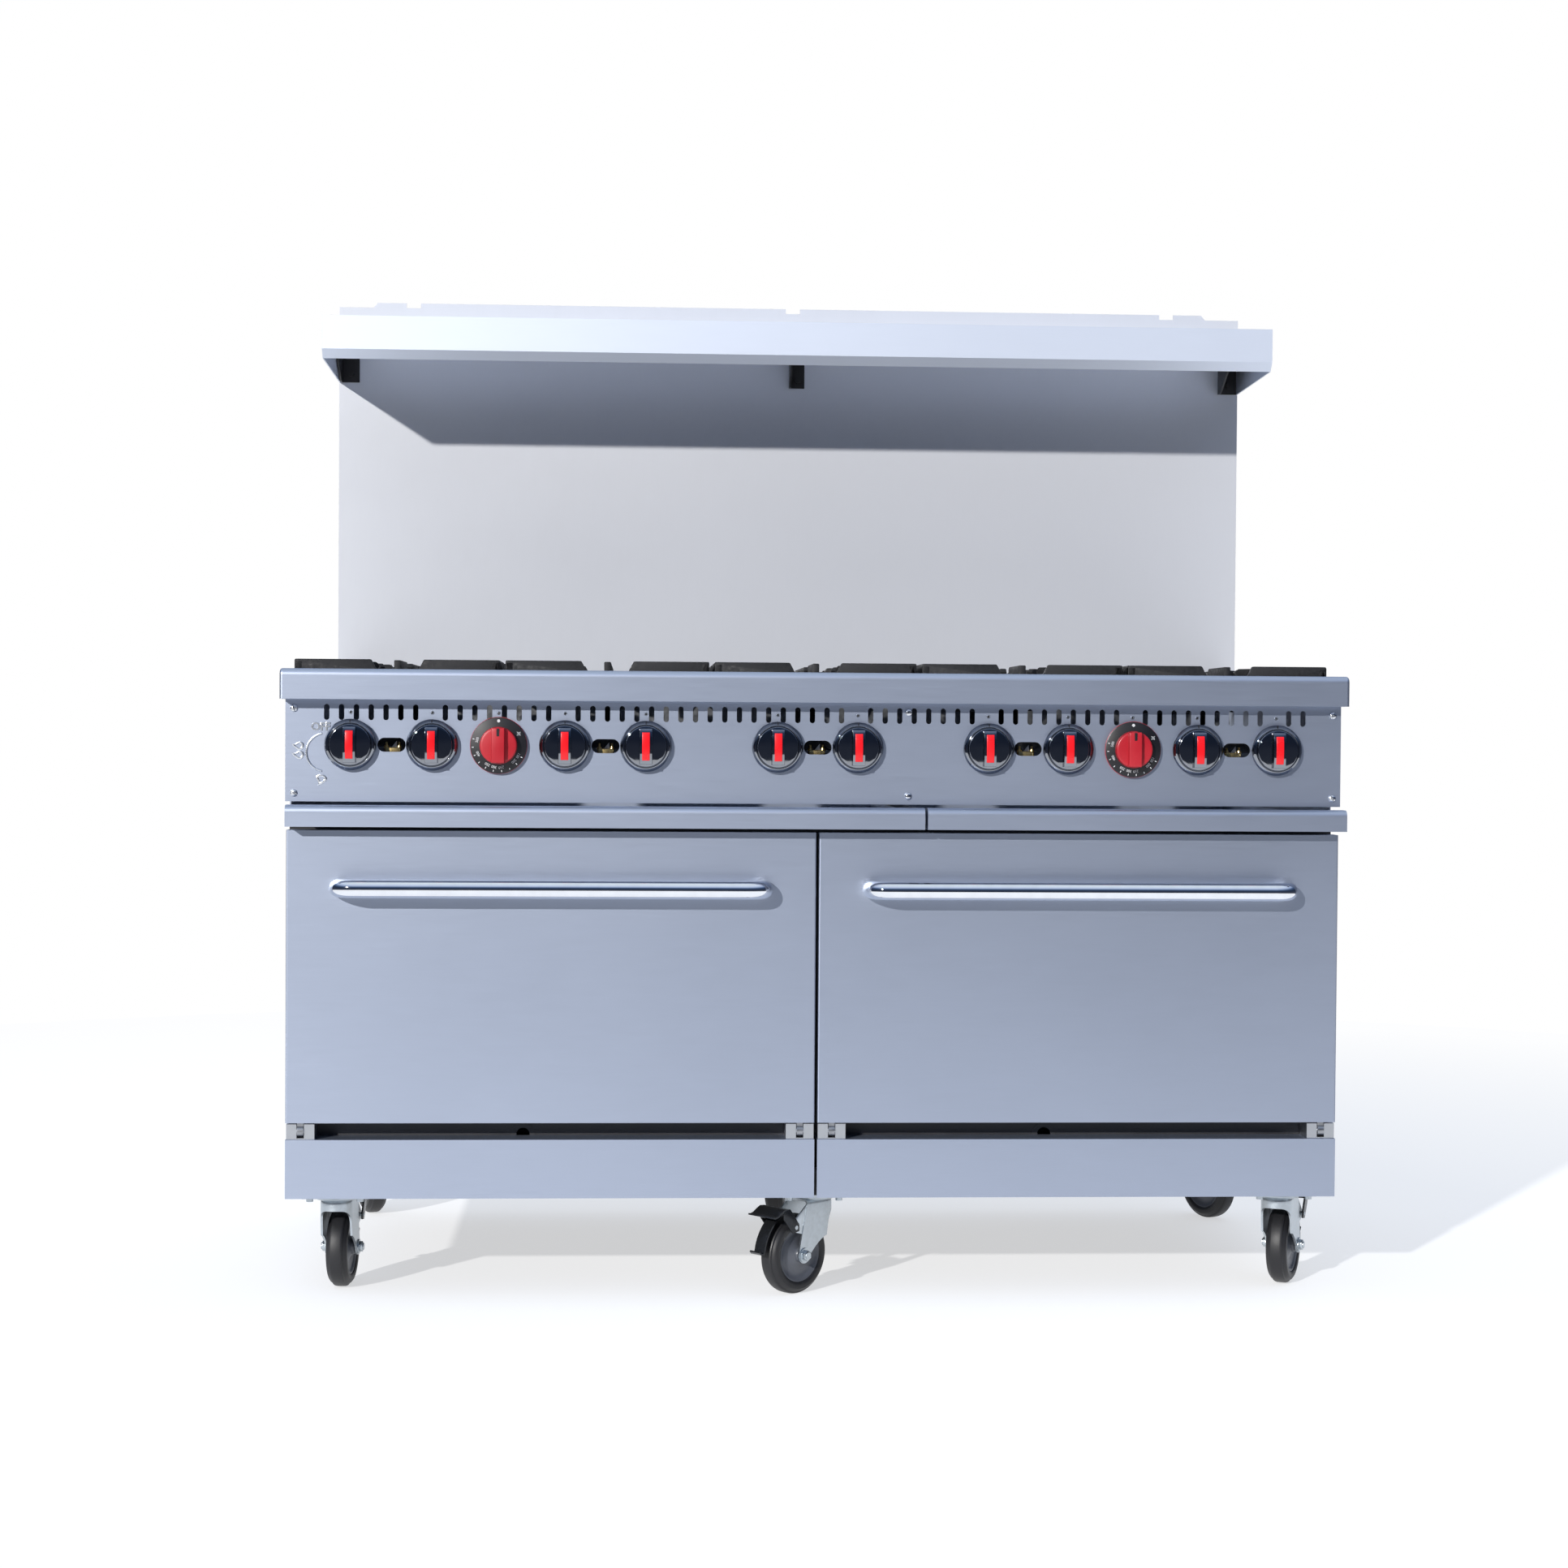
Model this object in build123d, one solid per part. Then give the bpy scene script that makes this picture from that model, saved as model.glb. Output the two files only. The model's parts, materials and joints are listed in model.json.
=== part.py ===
from build123d import *
import math
import os

# Freestanding ten-burner gas range with two ovens, a high shelf and six casters.
# Row frame: X to the right, Y to the rear, Z up, millimetres, floor at Z = 0.
# The front faces -Y. Depths named *_D and the d0, d1 arguments are measured back
# from the front face of the bullnose rail; row() turns them into Y.

# ---- overall sizes
WIDTH = 1524.0            # rail, shelf and backsplash
BODY_SETBACK = 5.0        # rail end to cabinet side
BODY_DEPTH = 773.0        # rail front to backsplash rear
SHEET = 2.0               # folded cabinet sheet
SEAM = 4.0                # gap between neighbouring fronts
CLEAR = 1.0               # clearance of a fixed piece beside another

# ---- casters
WHEEL_R = 57.5
WHEEL_WIDTH = 31.0
HUB_R = 39.0
TRAIL = 39.0
AXLE_R = 5.0
AXLE_FIT = 0.05
FORK_SHEET = 3.5
FORK_GAP = 4.0            # wheel side to fork leg
PLATE_SIZE = 92.0
PLATE_THICK = 4.0
KINGPIN_R = 8.0
KINGPIN_FIT = 0.05
CASTER_HEAD = 30.0        # wheel top to the top of the plate
CASTER_SIDE = 69.0        # cabinet side to a caster's kingpin
CASTER_FRONT_D = 94.5
CASTER_REAR = 73.0        # backsplash rear to the rear kingpins
CASTER_TURNS = (85.0, 222.0, 64.0, 110.0, 250.0, 300.0)
BRAKED = (1, 2, 3)
BRAKE_PIN_R = 3.0
BRAKE_RISE = 43.0         # axle to the brake's pivot
BRAKE_INSET = 36.5        # wheel's edge back to the brake's pivot
BRAKE_SHEET = 2.5
BRAKE_CLEAR = 0.8         # fork leg to brake cheek
RACE_R = 32.0
RACE_DROP = 4.0           # plate to the fork's crown
CROWN_R = 34.0
PLATE_BOLT_R = 5.0
PLATE_BOLT_EDGE = 10.0
AXLE_HEAD_R = 9.0
AXLE_HEAD = 5.0
TYRE_ROUND = 7.0
BOSS_R = 11.0
BOSS_CLEAR = 0.8          # wheel boss to fork leg

# ---- heights of the front's pieces and the gaps between them
FRAME_HEIGHT = 40.0
KICK_RISE = 43.0          # base frame to the kick plate's top
DOOR_GAP = 24.0           # kick plate to door
DOOR_HEIGHT = 417.0
TRAY_GAP = 6.0
TRAY_FACE = 30.5
PANEL_GAP = 4.5
PANEL_HEIGHT = 145.0
RAIL_FACE = 43.0
GRATE_PROUD = 16.0        # grate top above the rail
SPLASH_RISE = 623.0       # rail top to the backsplash's top fold
UPSTAND = 8.0
SHELF_DROP = 52.0         # backsplash's top fold to the shelf
SHELF_FACE = 53.0

# ---- depths behind the rail front
RAIL_DEPTH = 88.0
RAIL_NOSE_R = 9.0
RAIL_CORNER_R = 4.0
PANEL_D = 29.0
PANEL_LEG = 16.0          # panel's lower fold
SIDE_FOLD = 24.0          # side panel's rear fold
SIDE_LIP = 25.0           # side panel above the rail's lower edge
PIPE_ROOM = 60.0          # below the manifold, clear of the side panel's fold
DOOR_D = 32.5
DOOR_THICK = 45.5
FRONT_FRAME_D = 80.0
SPLASH_THICK = 25.0
SHELF_DEPTH = 253.0
GRATE_FRONT_D = 95.0

# ---- grates
GRATE_SINK = 24.0         # rail top to the underside of a grate
GRATE_RING = 20.0
GRATE_BAR = 12.0
GRATE_FINGER = 10.0
GRATE_FINGER_RISE = 4.0
GRATE_EYE = 45.0          # burner centre to the fingers' ends
GRATE_DIP = 38.0          # half the low stretch in the middle of each side

# ---- burners and controls
COLUMNS = 5
CONTROL_SHIFT = -1.5      # the controls sit a little left of their burners
KNOB_SPREAD = 115.0       # between the two knobs of a column
KNOB_RISE = 81.0          # panel's lower edge to the knobs
STEM_R = 4.0
STEM_FIT = 0.05
STEM_HOLE_R = 6.0
KNOB_R = 36.5
KNOB_DISC_R = 29.0
KNOB_GAP = 4.0            # panel face to the back of a knob
KNOB_SKIRT = 8.0
KNOB_DISC = 4.0
KNOB_GRIP = (15.0, 49.0, 13.0)
DIAL_R = 40.5
DIAL_THICK = 4.0
DIAL_KNOB_R = 26.75
DIAL_KNOB_THICK = 12.0
DIAL_GRIP = (20.6, 51.0, 9.0)
WINDOW = (40.0, 20.0)
SLOT = (7.6, 22.5)
SLOT_PITCH = 20.9
SLOT_LEFT = 58.0          # panel's left edge to the first slot
SLOT_RIGHT = 55.0         # least room right of the last slot
SLOT_DROP = 18.0          # rail to the row of slots
PILOT_HOLE_R = 2.6
PILOT_SCREW_R = 2.2
PILOT_SOCKET_R = 1.2
PANEL_SCREW_R = 5.0
PANEL_SCREW_HEAD = 3.0
PANEL_SCREW_SHANK_R = 2.4
PANEL_SCREW_HOLE_R = 2.5
PANEL_SCREW_SLOT = 1.4
PANEL_SCREW_SIDE = 12.0   # panel's edge to a screw
PANEL_SCREW_RISE = 12.0
PANEL_SCREW_DROP = 13.0
PANEL_SCREW_SEAM = 24.0   # tray seam to the middle screws
VALVE_HALF = 13.0
VALVE_LEAD = 10.0         # panel to the front of a tap
DIAL_VALVE_HALF = 24.0
STEM_BORE = 22.0
VENTURI_R = 11.0
VENTURI_MOUTH_R = 16.0
VENTURI_RISE = 6.0        # above the stems
BOWL_R = 44.0
BOWL_DROP = 50.0          # rail top to the bowl's underside
BOWL_THICK = 12.0
CAP_R = 47.0
CAP_STEP_R = 34.0
CAP_EYE_R = 14.0
CAP_THICK = 12.0
CAP_STEP = 6.0
FLAME_PORTS = 16
FLAME_PORT = (8.0, 3.0, 5.0)
TOP_BAR = 15.0            # width of the bars under the grates
TOP_BAR_THICK = 6.0
TOP_BAR_DROP = 30.0       # rail top to the bars' underside

# ---- ovens
OVEN_SIDE = 47.0          # door edge to the oven's inside
OVEN_REAR = 111.0         # oven's inside rear to the backsplash
OVEN_SILL = 30.0          # door's lower edge to the oven floor
OVEN_HEAD = 29.0          # oven's ceiling to the door's upper edge
BURNER_BAY_RISE = 30.0    # base frame to the burner bay's inside floor
OVEN_WALL = 2.0
INSULATION = 20.0
DECK_THICK = 3.0
LIGHT_HOLE = 21.0         # square, above the kick plate
LIGHT_HOLE_OFFSET = 42.0
RACK_RISES = (84.0, 208.0)
RACK_ROD_R = 3.5
RACK_WIRE_R = 2.2
RACK_WIRES = 17
RACK_FRONT = 34.0         # oven mouth to the rack
RACK_REAR = 36.0          # rack to the oven's rear
RACK_SIDE = 8.0
GUIDE_FRONT = 30.0
GUIDE_LEDGE = 16.0
GUIDE_THICK = 3.0
GUIDE_POST = 20.0
DECK_SLOTS = 8
DECK_SLOT = (12.0, 36.0)
DECK_SLOT_SIDE = 30.0
DECK_SLOT_ENDS = 60.0     # oven's ends to the rows of slots
DECK_LEDGE_THICK = 4.0
OVEN_BURNER_R = 14.0
OVEN_BURNER_BOX = 16.0    # half its height and depth
OVEN_BURNER_FRONT = 40.0
OVEN_BURNER_REAR = 50.0

# ---- doors
DOOR_SKIN_DEPTH = 30.0
DOOR_SKIN_WALL = 1.5
DOOR_LINER_INSET = 8.0
HANDLE_R = 13.0
HANDLE_WALL = 1.5
HANDLE_PROUD = 48.0
HANDLE_INSET = 62.0       # door edge to the handle's outer end
HANDLE_DROP = 81.0        # door's upper edge to the handle
HANDLE_BEND_R = 24.0
HINGE_DROP = 12.0         # door's lower edge to the hinge line
HINGE_D = DOOR_D + 8.0
HINGE_PIN_R = 4.0
HINGE_KNUCKLE = 4.0       # leaf metal round the pin
HINGE_FIT = 0.05
HINGE_LEAF = 9.0
HINGE_SIDE_CLEAR = 0.8
BRACKET_WIDTH = 42.0
BRACKET_FRONT_LEAD = 4.5  # bracket front ahead of the pivot
BRACKET_TOP_DROP = 2.0    # below the door's lower edge

# ---- back riser and shelf
UPSTAND_SIDE = 64.0
UPSTAND_SLOPE = 7.0
NOTCH_SIDE = 124.0
NOTCH_WIDTH = 24.0
SHELF_RETURN = (12.0, 14.0)   # back and down from the face's lower edge
SHELF_END_DROP = 21.0
BRACKET_SHEET = 3.0
BRACKET_LEG = 20.0
BRACKET_BOLT_R = 5.0
BRACKET_BOLT_RISE = 14.0
END_BRACKET = 31.0
END_BRACKET_REACH = 150.0
MIDDLE_BRACKET = (-6.0, 20.0)
MIDDLE_BRACKET_REACH = 110.0

# ---- trays
TRAY_SEAM_SHIFT = 1.5     # tray seam right of the burner columns' seam
TRAY_FLOOR_RISE = 9.0
TRAY_WALL_DROP = 7.5
TRAY_SIDE = 14.0          # side clearance inside the cabinet
TRAY_REAR = 23.0
TRAY_OVERHANG = 3.0

# ---- gas pipe, 3/4 inch
PIPE_R = 13.335
INLET_PROUD = 27.0
COUPLING_WALL = 1.665
COUPLING_PROUD = 3.0
INLET_SIDE = 29.0         # cabinet side to the inlet
MANIFOLD_WALL = 3.665
MANIFOLD_D = 66.0
MANIFOLD_DROP = 33.0      # knobs to manifold

# ---- worked out
HALF = WIDTH / 2
BODY_WIDTH = WIDTH - 2 * BODY_SETBACK
HALF_BODY = BODY_WIDTH / 2
SPLASH_D = BODY_DEPTH - SPLASH_THICK
CASTER_HEIGHT = 2 * WHEEL_R + CASTER_HEAD
FRAME_TOP_Z = CASTER_HEIGHT + FRAME_HEIGHT
KICK_TOP_Z = FRAME_TOP_Z + KICK_RISE
DOOR_BOTTOM_Z = KICK_TOP_Z + DOOR_GAP
DOOR_TOP_Z = DOOR_BOTTOM_Z + DOOR_HEIGHT
TRAY_BOTTOM_Z = DOOR_TOP_Z + TRAY_GAP
TRAY_TOP_Z = TRAY_BOTTOM_Z + TRAY_FACE
TRAY_FLOOR_Z = TRAY_BOTTOM_Z + TRAY_FLOOR_RISE
TRAY_WALL_Z = TRAY_TOP_Z - TRAY_WALL_DROP
PANEL_BOTTOM_Z = TRAY_TOP_Z + PANEL_GAP
RAIL_BOTTOM_Z = PANEL_BOTTOM_Z + PANEL_HEIGHT
RAIL_TOP_Z = RAIL_BOTTOM_Z + RAIL_FACE
GRATE_TOP_Z = RAIL_TOP_Z + GRATE_PROUD
SPLASH_TOP_Z = RAIL_TOP_Z + SPLASH_RISE
TOP_Z = SPLASH_TOP_Z + UPSTAND
SHELF_TOP_Z = SPLASH_TOP_Z - SHELF_DROP
OVEN_SILL_Z = DOOR_BOTTOM_Z + OVEN_SILL
OVEN_HEAD_Z = DOOR_TOP_Z - OVEN_HEAD
BURNER_BAY_Z = FRAME_TOP_Z + BURNER_BAY_RISE
RACK_LEVELS = [OVEN_SILL_Z + rise for rise in RACK_RISES]
KNOB_Z = PANEL_BOTTOM_Z + KNOB_RISE
SLOT_Z = RAIL_BOTTOM_Z - SLOT_DROP
HANDLE_Z = DOOR_TOP_Z - HANDLE_DROP
HINGE_Z = DOOR_BOTTOM_Z - HINGE_DROP
MANIFOLD_Z = KNOB_Z - MANIFOLD_DROP
MANIFOLD_R = PIPE_R + MANIFOLD_WALL
COUPLING_R = PIPE_R + COUPLING_WALL
INLET_X = HALF_BODY - INLET_SIDE
HANDLE_LEAD = HANDLE_PROUD - DOOR_D
Y_RAIL = (HANDLE_LEAD - BODY_DEPTH - INLET_PROUD) / 2
DOOR_WIDTH = HALF_BODY - CLEAR - SEAM / 2
DOOR_CENTRE = SEAM / 2 + DOOR_WIDTH / 2
CAVITY_WIDTH = DOOR_WIDTH - 2 * OVEN_SIDE
CAVITY_DEPTH = SPLASH_D - OVEN_REAR - FRONT_FRAME_D - SHEET
COLUMN_PITCH = (BODY_WIDTH + CLEAR) / COLUMNS
COLUMN_XS = [COLUMN_PITCH * (i - (COLUMNS - 1) / 2) for i in range(COLUMNS)]
WINDOW_XS = [x + CONTROL_SHIFT for x in COLUMN_XS]
KNOB_XS = [x + side * KNOB_SPREAD / 2 for x in WINDOW_XS for side in (-1, 1)]
DIAL_XS = [side * COLUMN_PITCH * 1.5 + CONTROL_SHIFT for side in (-1, 1)]
TRAY_SEAM_X = COLUMN_PITCH / 2 + TRAY_SEAM_SHIFT
TRAY_REAR_D = SPLASH_D - TRAY_REAR
GRATE_SIZE_X = COLUMN_PITCH - 2 * SEAM
GRATE_SIZE_Y = (SPLASH_D - GRATE_FRONT_D - 3 * SEAM) / 2
BURNER_DS = [GRATE_FRONT_D + SEAM + GRATE_SIZE_Y / 2,
             GRATE_FRONT_D + 2 * SEAM + GRATE_SIZE_Y * 3 / 2]
PLATE_BOTTOM_Z = CASTER_HEIGHT - PLATE_THICK
CASTER_X = HALF_BODY - CASTER_SIDE
CASTER_REAR_D = BODY_DEPTH - CASTER_REAR
CASTER_SPOTS = [(x, d) for d in (CASTER_FRONT_D, CASTER_REAR_D) for x in (-CASTER_X, 0.0, CASTER_X)]
BRAKE_PIVOT = (TRAIL + WHEEL_R - BRAKE_INSET, WHEEL_R + BRAKE_RISE)
FORK_INNER = WHEEL_WIDTH / 2 + FORK_GAP
FORK_OUTER = FORK_INNER + FORK_SHEET
OVEN_XS = {"left": -DOOR_CENTRE, "right": DOOR_CENTRE}


# ---- small builders
def row(d):
    """Y of a depth measured back from the rail's front face."""
    return Y_RAIL + d


def block(x0, x1, d0, d1, z0, z1):
    """Box between two corners."""
    size = Box(x1 - x0, d1 - d0, z1 - z0, align=(Align.MIN, Align.MIN, Align.MIN))
    return Pos(x0, row(d0), z0) * size


def rod_x(x0, x1, d, z, r):
    """Round bar along X."""
    return Pos((x0 + x1) / 2, row(d), z) * Rot(0, 90, 0) * Cylinder(r, abs(x1 - x0))


def rod_y(x, d0, d1, z, r):
    """Round bar along Y."""
    return Pos(x, row((d0 + d1) / 2), z) * Rot(90, 0, 0) * Cylinder(r, abs(d1 - d0))


def rod_z(x, d, z0, z1, r):
    """Round bar along Z."""
    return Pos(x, row(d), (z0 + z1) / 2) * Cylinder(r, abs(z1 - z0))


def plate_x(points, x0, x1):
    """Profile of (depth, z) points, extruded along X."""
    outline = Polyline(*[(x0, row(d), z) for d, z in points], close=True)
    return extrude(make_face(outline), amount=x1 - x0, dir=(1, 0, 0))


def plate_y(points, d0, d1):
    """Profile of (x, z) points, extruded along Y."""
    outline = Polyline(*[(x, row(d0), z) for x, z in points], close=True)
    return extrude(make_face(outline), amount=d1 - d0, dir=(0, 1, 0))


def obround_y(x, z, width, height, d0, d1):
    """Round-ended prism through a sheet that faces the front."""
    r = min(width, height) / 2
    if width > height:
        run = width / 2 - r
        core = block(x - run, x + run, d0, d1, z - r, z + r)
        return core + rod_y(x - run, d0, d1, z, r) + rod_y(x + run, d0, d1, z, r)
    run = height / 2 - r
    core = block(x - r, x + r, d0, d1, z - run, z + run)
    return core + rod_y(x, d0, d1, z - run, r) + rod_y(x, d0, d1, z + run, r)


def tube_box(x0, x1, d0, d1, z0, z1, along, wall=SHEET):
    """Rectangular tube, open at both ends of its run."""
    ix = 0 if along == "x" else wall
    iy = 0 if along == "y" else wall
    return block(x0, x1, d0, d1, z0, z1) - block(
        x0 + ix, x1 - ix, d0 + iy, d1 - iy, z0 + wall, z1 - wall)


def save(name, *pieces):
    """Write one node; several pieces stay separate solids."""
    solids = [s for p in pieces for s in p.solids()]
    shape = solids[0] if len(solids) == 1 else Compound(children=solids)
    export_step(shape, f"parts/{name}.step")


# ---- cabinet
def base_frame():
    """Welded tube frame that carries the cabinet on the casters."""
    half = HALF_BODY - SHEET - CLEAR
    deep = PLATE_SIZE + 2 * CLEAR
    front0 = CASTER_FRONT_D - deep / 2
    rear1 = min(CASTER_REAR_D + deep / 2, BODY_DEPTH - SHEET - CLEAR)
    zs = (CASTER_HEIGHT, FRAME_TOP_Z)
    bars = [tube_box(-half, half, front0, front0 + deep, *zs, "x"),
            tube_box(-half, half, rear1 - deep, rear1, *zs, "x")]
    bar = FRAME_HEIGHT
    for x in (-half, -bar / 2, half - bar):
        bars.append(tube_box(x, x + bar, front0 + deep, rear1 - deep, *zs, "y"))
    return bars


def side_panel(side):
    """Outer side sheet with a front and a rear fold."""
    x_out = side * HALF_BODY
    x_in = x_out - side * SHEET
    x_fold = x_out - side * SIDE_FOLD
    xs = sorted((x_out, x_in))
    folds = sorted((x_out, x_fold))
    top = RAIL_BOTTOM_Z + SIDE_LIP
    panel = block(*xs, FRONT_FRAME_D + SHEET, SPLASH_D, CASTER_HEIGHT, RAIL_BOTTOM_Z)
    panel += block(*xs, RAIL_DEPTH + CLEAR, SPLASH_D, RAIL_BOTTOM_Z, top)
    rear = block(*folds, SPLASH_D - SHEET, SPLASH_D, FRAME_TOP_Z + CLEAR, MANIFOLD_Z - PIPE_ROOM)
    return panel + rear


def rear_panel():
    """Back sheet with a hole for the gas pipe."""
    half = HALF_BODY
    sheet = block(-half, half, SPLASH_D, SPLASH_D + SHEET, CASTER_HEIGHT, RAIL_BOTTOM_Z)
    return sheet - rod_y(INLET_X, SPLASH_D - 1, SPLASH_D + SHEET + 1, MANIFOLD_Z, COUPLING_R + CLEAR)


def front_rail():
    """Bullnose landing rail: a folded sheet, open below behind the control panel."""
    outer = block(-HALF, HALF, 0, RAIL_DEPTH, RAIL_BOTTOM_Z, RAIL_TOP_Z)
    nose = outer.edges().filter_by(Axis.X).sort_by(lambda e: e.center().Z - e.center().Y)[-1]
    outer = fillet(nose, RAIL_NOSE_R)
    corners = outer.edges().filter_by(Axis.Z).group_by(Axis.Y)[0]
    outer = fillet(corners, RAIL_CORNER_R)
    inner = block(-HALF + SHEET, HALF - SHEET, SHEET, RAIL_DEPTH - SHEET,
                  RAIL_BOTTOM_Z + SHEET, RAIL_TOP_Z - SHEET)
    crown = inner.edges().filter_by(Axis.X).sort_by(lambda e: e.center().Z - e.center().Y)[-1]
    inner = fillet(crown, RAIL_NOSE_R - SHEET)
    mouth = block(-HALF_BODY - CLEAR, HALF_BODY + CLEAR, PANEL_D + SHEET, RAIL_DEPTH - SHEET,
                  RAIL_BOTTOM_Z - 1, RAIL_BOTTOM_Z + SHEET + 1)
    return outer - inner - mouth


def slot_xs():
    """Vent slot places: an even grid that leaves out each one at a pilot screw."""
    screws = KNOB_XS + DIAL_XS
    count = int((BODY_WIDTH - SLOT_LEFT - SLOT_RIGHT) / SLOT_PITCH) + 1
    grid = [-HALF_BODY + SLOT_LEFT + SLOT_PITCH * i for i in range(count)]
    reach = SLOT[0] / 2 + PILOT_HOLE_R + 0.5
    return [x for x in grid if min(abs(x - s) for s in screws) > reach]


def screw_spots():
    """Control panel screws as (x, z)."""
    seam = TRAY_SEAM_X - PANEL_SCREW_SEAM
    edge = HALF_BODY - PANEL_SCREW_SIDE
    zs = (PANEL_BOTTOM_Z + PANEL_SCREW_RISE, RAIL_BOTTOM_Z - PANEL_SCREW_DROP)
    return [(x, z) for x in (-edge, seam, edge) for z in zs]


def control_panel():
    """Folded front panel with every hole it needs."""
    d0 = PANEL_D
    d1 = PANEL_D + SHEET
    panel = block(-HALF_BODY, HALF_BODY, d0, d1, PANEL_BOTTOM_Z, RAIL_BOTTOM_Z)
    for side in (-1, 1):
        xs = sorted((side * HALF_BODY, side * (HALF_BODY - SHEET)))
        panel += block(*xs, d0, FRONT_FRAME_D, PANEL_BOTTOM_Z, RAIL_BOTTOM_Z)
    panel += block(-HALF_BODY, HALF_BODY, d0, d0 + PANEL_LEG, PANEL_BOTTOM_Z, PANEL_BOTTOM_Z + SHEET)
    cuts = []
    for x in KNOB_XS + DIAL_XS:
        cuts.append(rod_y(x, d0 - 1, d1 + 1, KNOB_Z, STEM_HOLE_R))
        cuts.append(rod_y(x, d0 - 1, d1 + 1, SLOT_Z, PILOT_HOLE_R))
    for x in WINDOW_XS:
        cuts.append(obround_y(x, KNOB_Z, *WINDOW, d0 - 1, d1 + 1))
    for x in slot_xs():
        cuts.append(obround_y(x, SLOT_Z, *SLOT, d0 - 1, d1 + 1))
    for x, z in screw_spots():
        cuts.append(rod_y(x, d0 - 1, d1 + 1, z, PANEL_SCREW_HOLE_R))
    return panel.cut(*[s for c in cuts for s in c.solids()])


def panel_screws():
    """Panel screws with slotted heads, and the small pilot screws above the knobs."""
    pieces = []
    for x, z in screw_spots():
        front = PANEL_D - PANEL_SCREW_HEAD
        screw = rod_y(x, front, PANEL_D, z, PANEL_SCREW_R)
        screw += rod_y(x, PANEL_D, PANEL_D + 10, z, PANEL_SCREW_SHANK_R)
        half = PANEL_SCREW_SLOT / 2
        slot = block(x - PANEL_SCREW_R - 1, x + PANEL_SCREW_R + 1, front - 1, front + 1.2, z - half, z + half)
        pieces.append(screw - slot)
    for x in KNOB_XS + DIAL_XS:
        screw = rod_y(x, PANEL_D - 1.2, PANEL_D + 14, SLOT_Z, PILOT_SCREW_R)
        pieces.append(screw - rod_y(x, PANEL_D - 2, PANEL_D + 1, SLOT_Z, PILOT_SOCKET_R))
    return pieces


def kick_plate(side):
    """Lower front sheet below one oven."""
    xs = sorted((side * SEAM / 2, side * (HALF_BODY - CLEAR)))
    face = block(*xs, DOOR_D, DOOR_D + SHEET, CASTER_HEIGHT - CLEAR, KICK_TOP_Z)
    top = block(*xs, DOOR_D, FRONT_FRAME_D - CLEAR, KICK_TOP_Z - SHEET, KICK_TOP_Z)
    return face + top


def front_frame():
    """Strips behind the doors, round the two oven mouths and the square lighting holes."""
    d0 = FRONT_FRAME_D
    d1 = d0 + SHEET
    mouth = CAVITY_WIDTH / 2
    hole = LIGHT_HOLE / 2
    hole_z = KICK_TOP_Z + CLEAR
    top_z = TRAY_BOTTOM_Z - CLEAR
    strips = [block(-HALF_BODY, HALF_BODY, d0, d1, OVEN_HEAD_Z, top_z),
              block(-HALF_BODY, HALF_BODY, d0, d1, FRAME_TOP_Z, hole_z - hole),
              block(-HALF_BODY, HALF_BODY, d0, d1, hole_z + hole, OVEN_SILL_Z)]
    left, right = OVEN_XS["left"], OVEN_XS["right"]
    for x0, x1 in ((-HALF_BODY, left - mouth), (left + mouth, right - mouth), (right + mouth, HALF_BODY)):
        strips.append(block(x0, x1, d0, d1, OVEN_SILL_Z, OVEN_HEAD_Z))
    ends = [-HALF_BODY, left - LIGHT_HOLE_OFFSET, right - LIGHT_HOLE_OFFSET, HALF_BODY]
    for i, (x0, x1) in enumerate(zip(ends, ends[1:])):
        x0 += hole if i > 0 else 0
        x1 -= hole if i < 2 else 0
        strips.append(block(x0, x1, d0, d1, hole_z - hole, hole_z + hole))
    return strips


# ---- ovens
def oven_cavity(x):
    """Oven liner, open to the front, with the burner bay below its deck."""
    half = CAVITY_WIDTH / 2
    d0 = FRONT_FRAME_D + SHEET
    w = OVEN_WALL
    outer = block(x - half - w, x + half + w, d0, d0 + CAVITY_DEPTH + w, BURNER_BAY_Z - w, OVEN_HEAD_Z + w)
    return outer - block(x - half, x + half, d0 - 1, d0 + CAVITY_DEPTH, BURNER_BAY_Z, OVEN_HEAD_Z)


def oven_insulation(x):
    """Mineral wool over the top, sides and back of a liner."""
    half = CAVITY_WIDTH / 2 + OVEN_WALL
    d0 = FRONT_FRAME_D + SHEET
    d1 = d0 + CAVITY_DEPTH + OVEN_WALL
    t = INSULATION
    z1 = OVEN_HEAD_Z + OVEN_WALL
    batt = block(x - half - t, x + half + t, d0, d1 + t, BURNER_BAY_Z, z1 + t)
    return batt - block(x - half, x + half, d0 - 1, d1, BURNER_BAY_Z - 1, z1)


def oven_deck(x):
    """Loose enamelled floor plate with heat slots along both sides."""
    half = CAVITY_WIDTH / 2 - CLEAR
    d0 = FRONT_FRAME_D + SHEET
    z0 = OVEN_SILL_Z
    deck = block(x - half, x + half, d0, d0 + CAVITY_DEPTH - CLEAR, z0 - DECK_THICK, z0)
    slots = []
    wide, long = DECK_SLOT
    for i in range(DECK_SLOTS):
        d = d0 + DECK_SLOT_ENDS + i * (CAVITY_DEPTH - 2 * DECK_SLOT_ENDS) / DECK_SLOTS
        for side in (-1, 1):
            sx = x + side * (half - DECK_SLOT_SIDE)
            slots.append(block(sx - wide / 2, sx + wide / 2, d, d + long, z0 - DECK_THICK - 1, z0 + 1))
    return deck.cut(*[s for c in slots for s in c.solids()])


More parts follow.
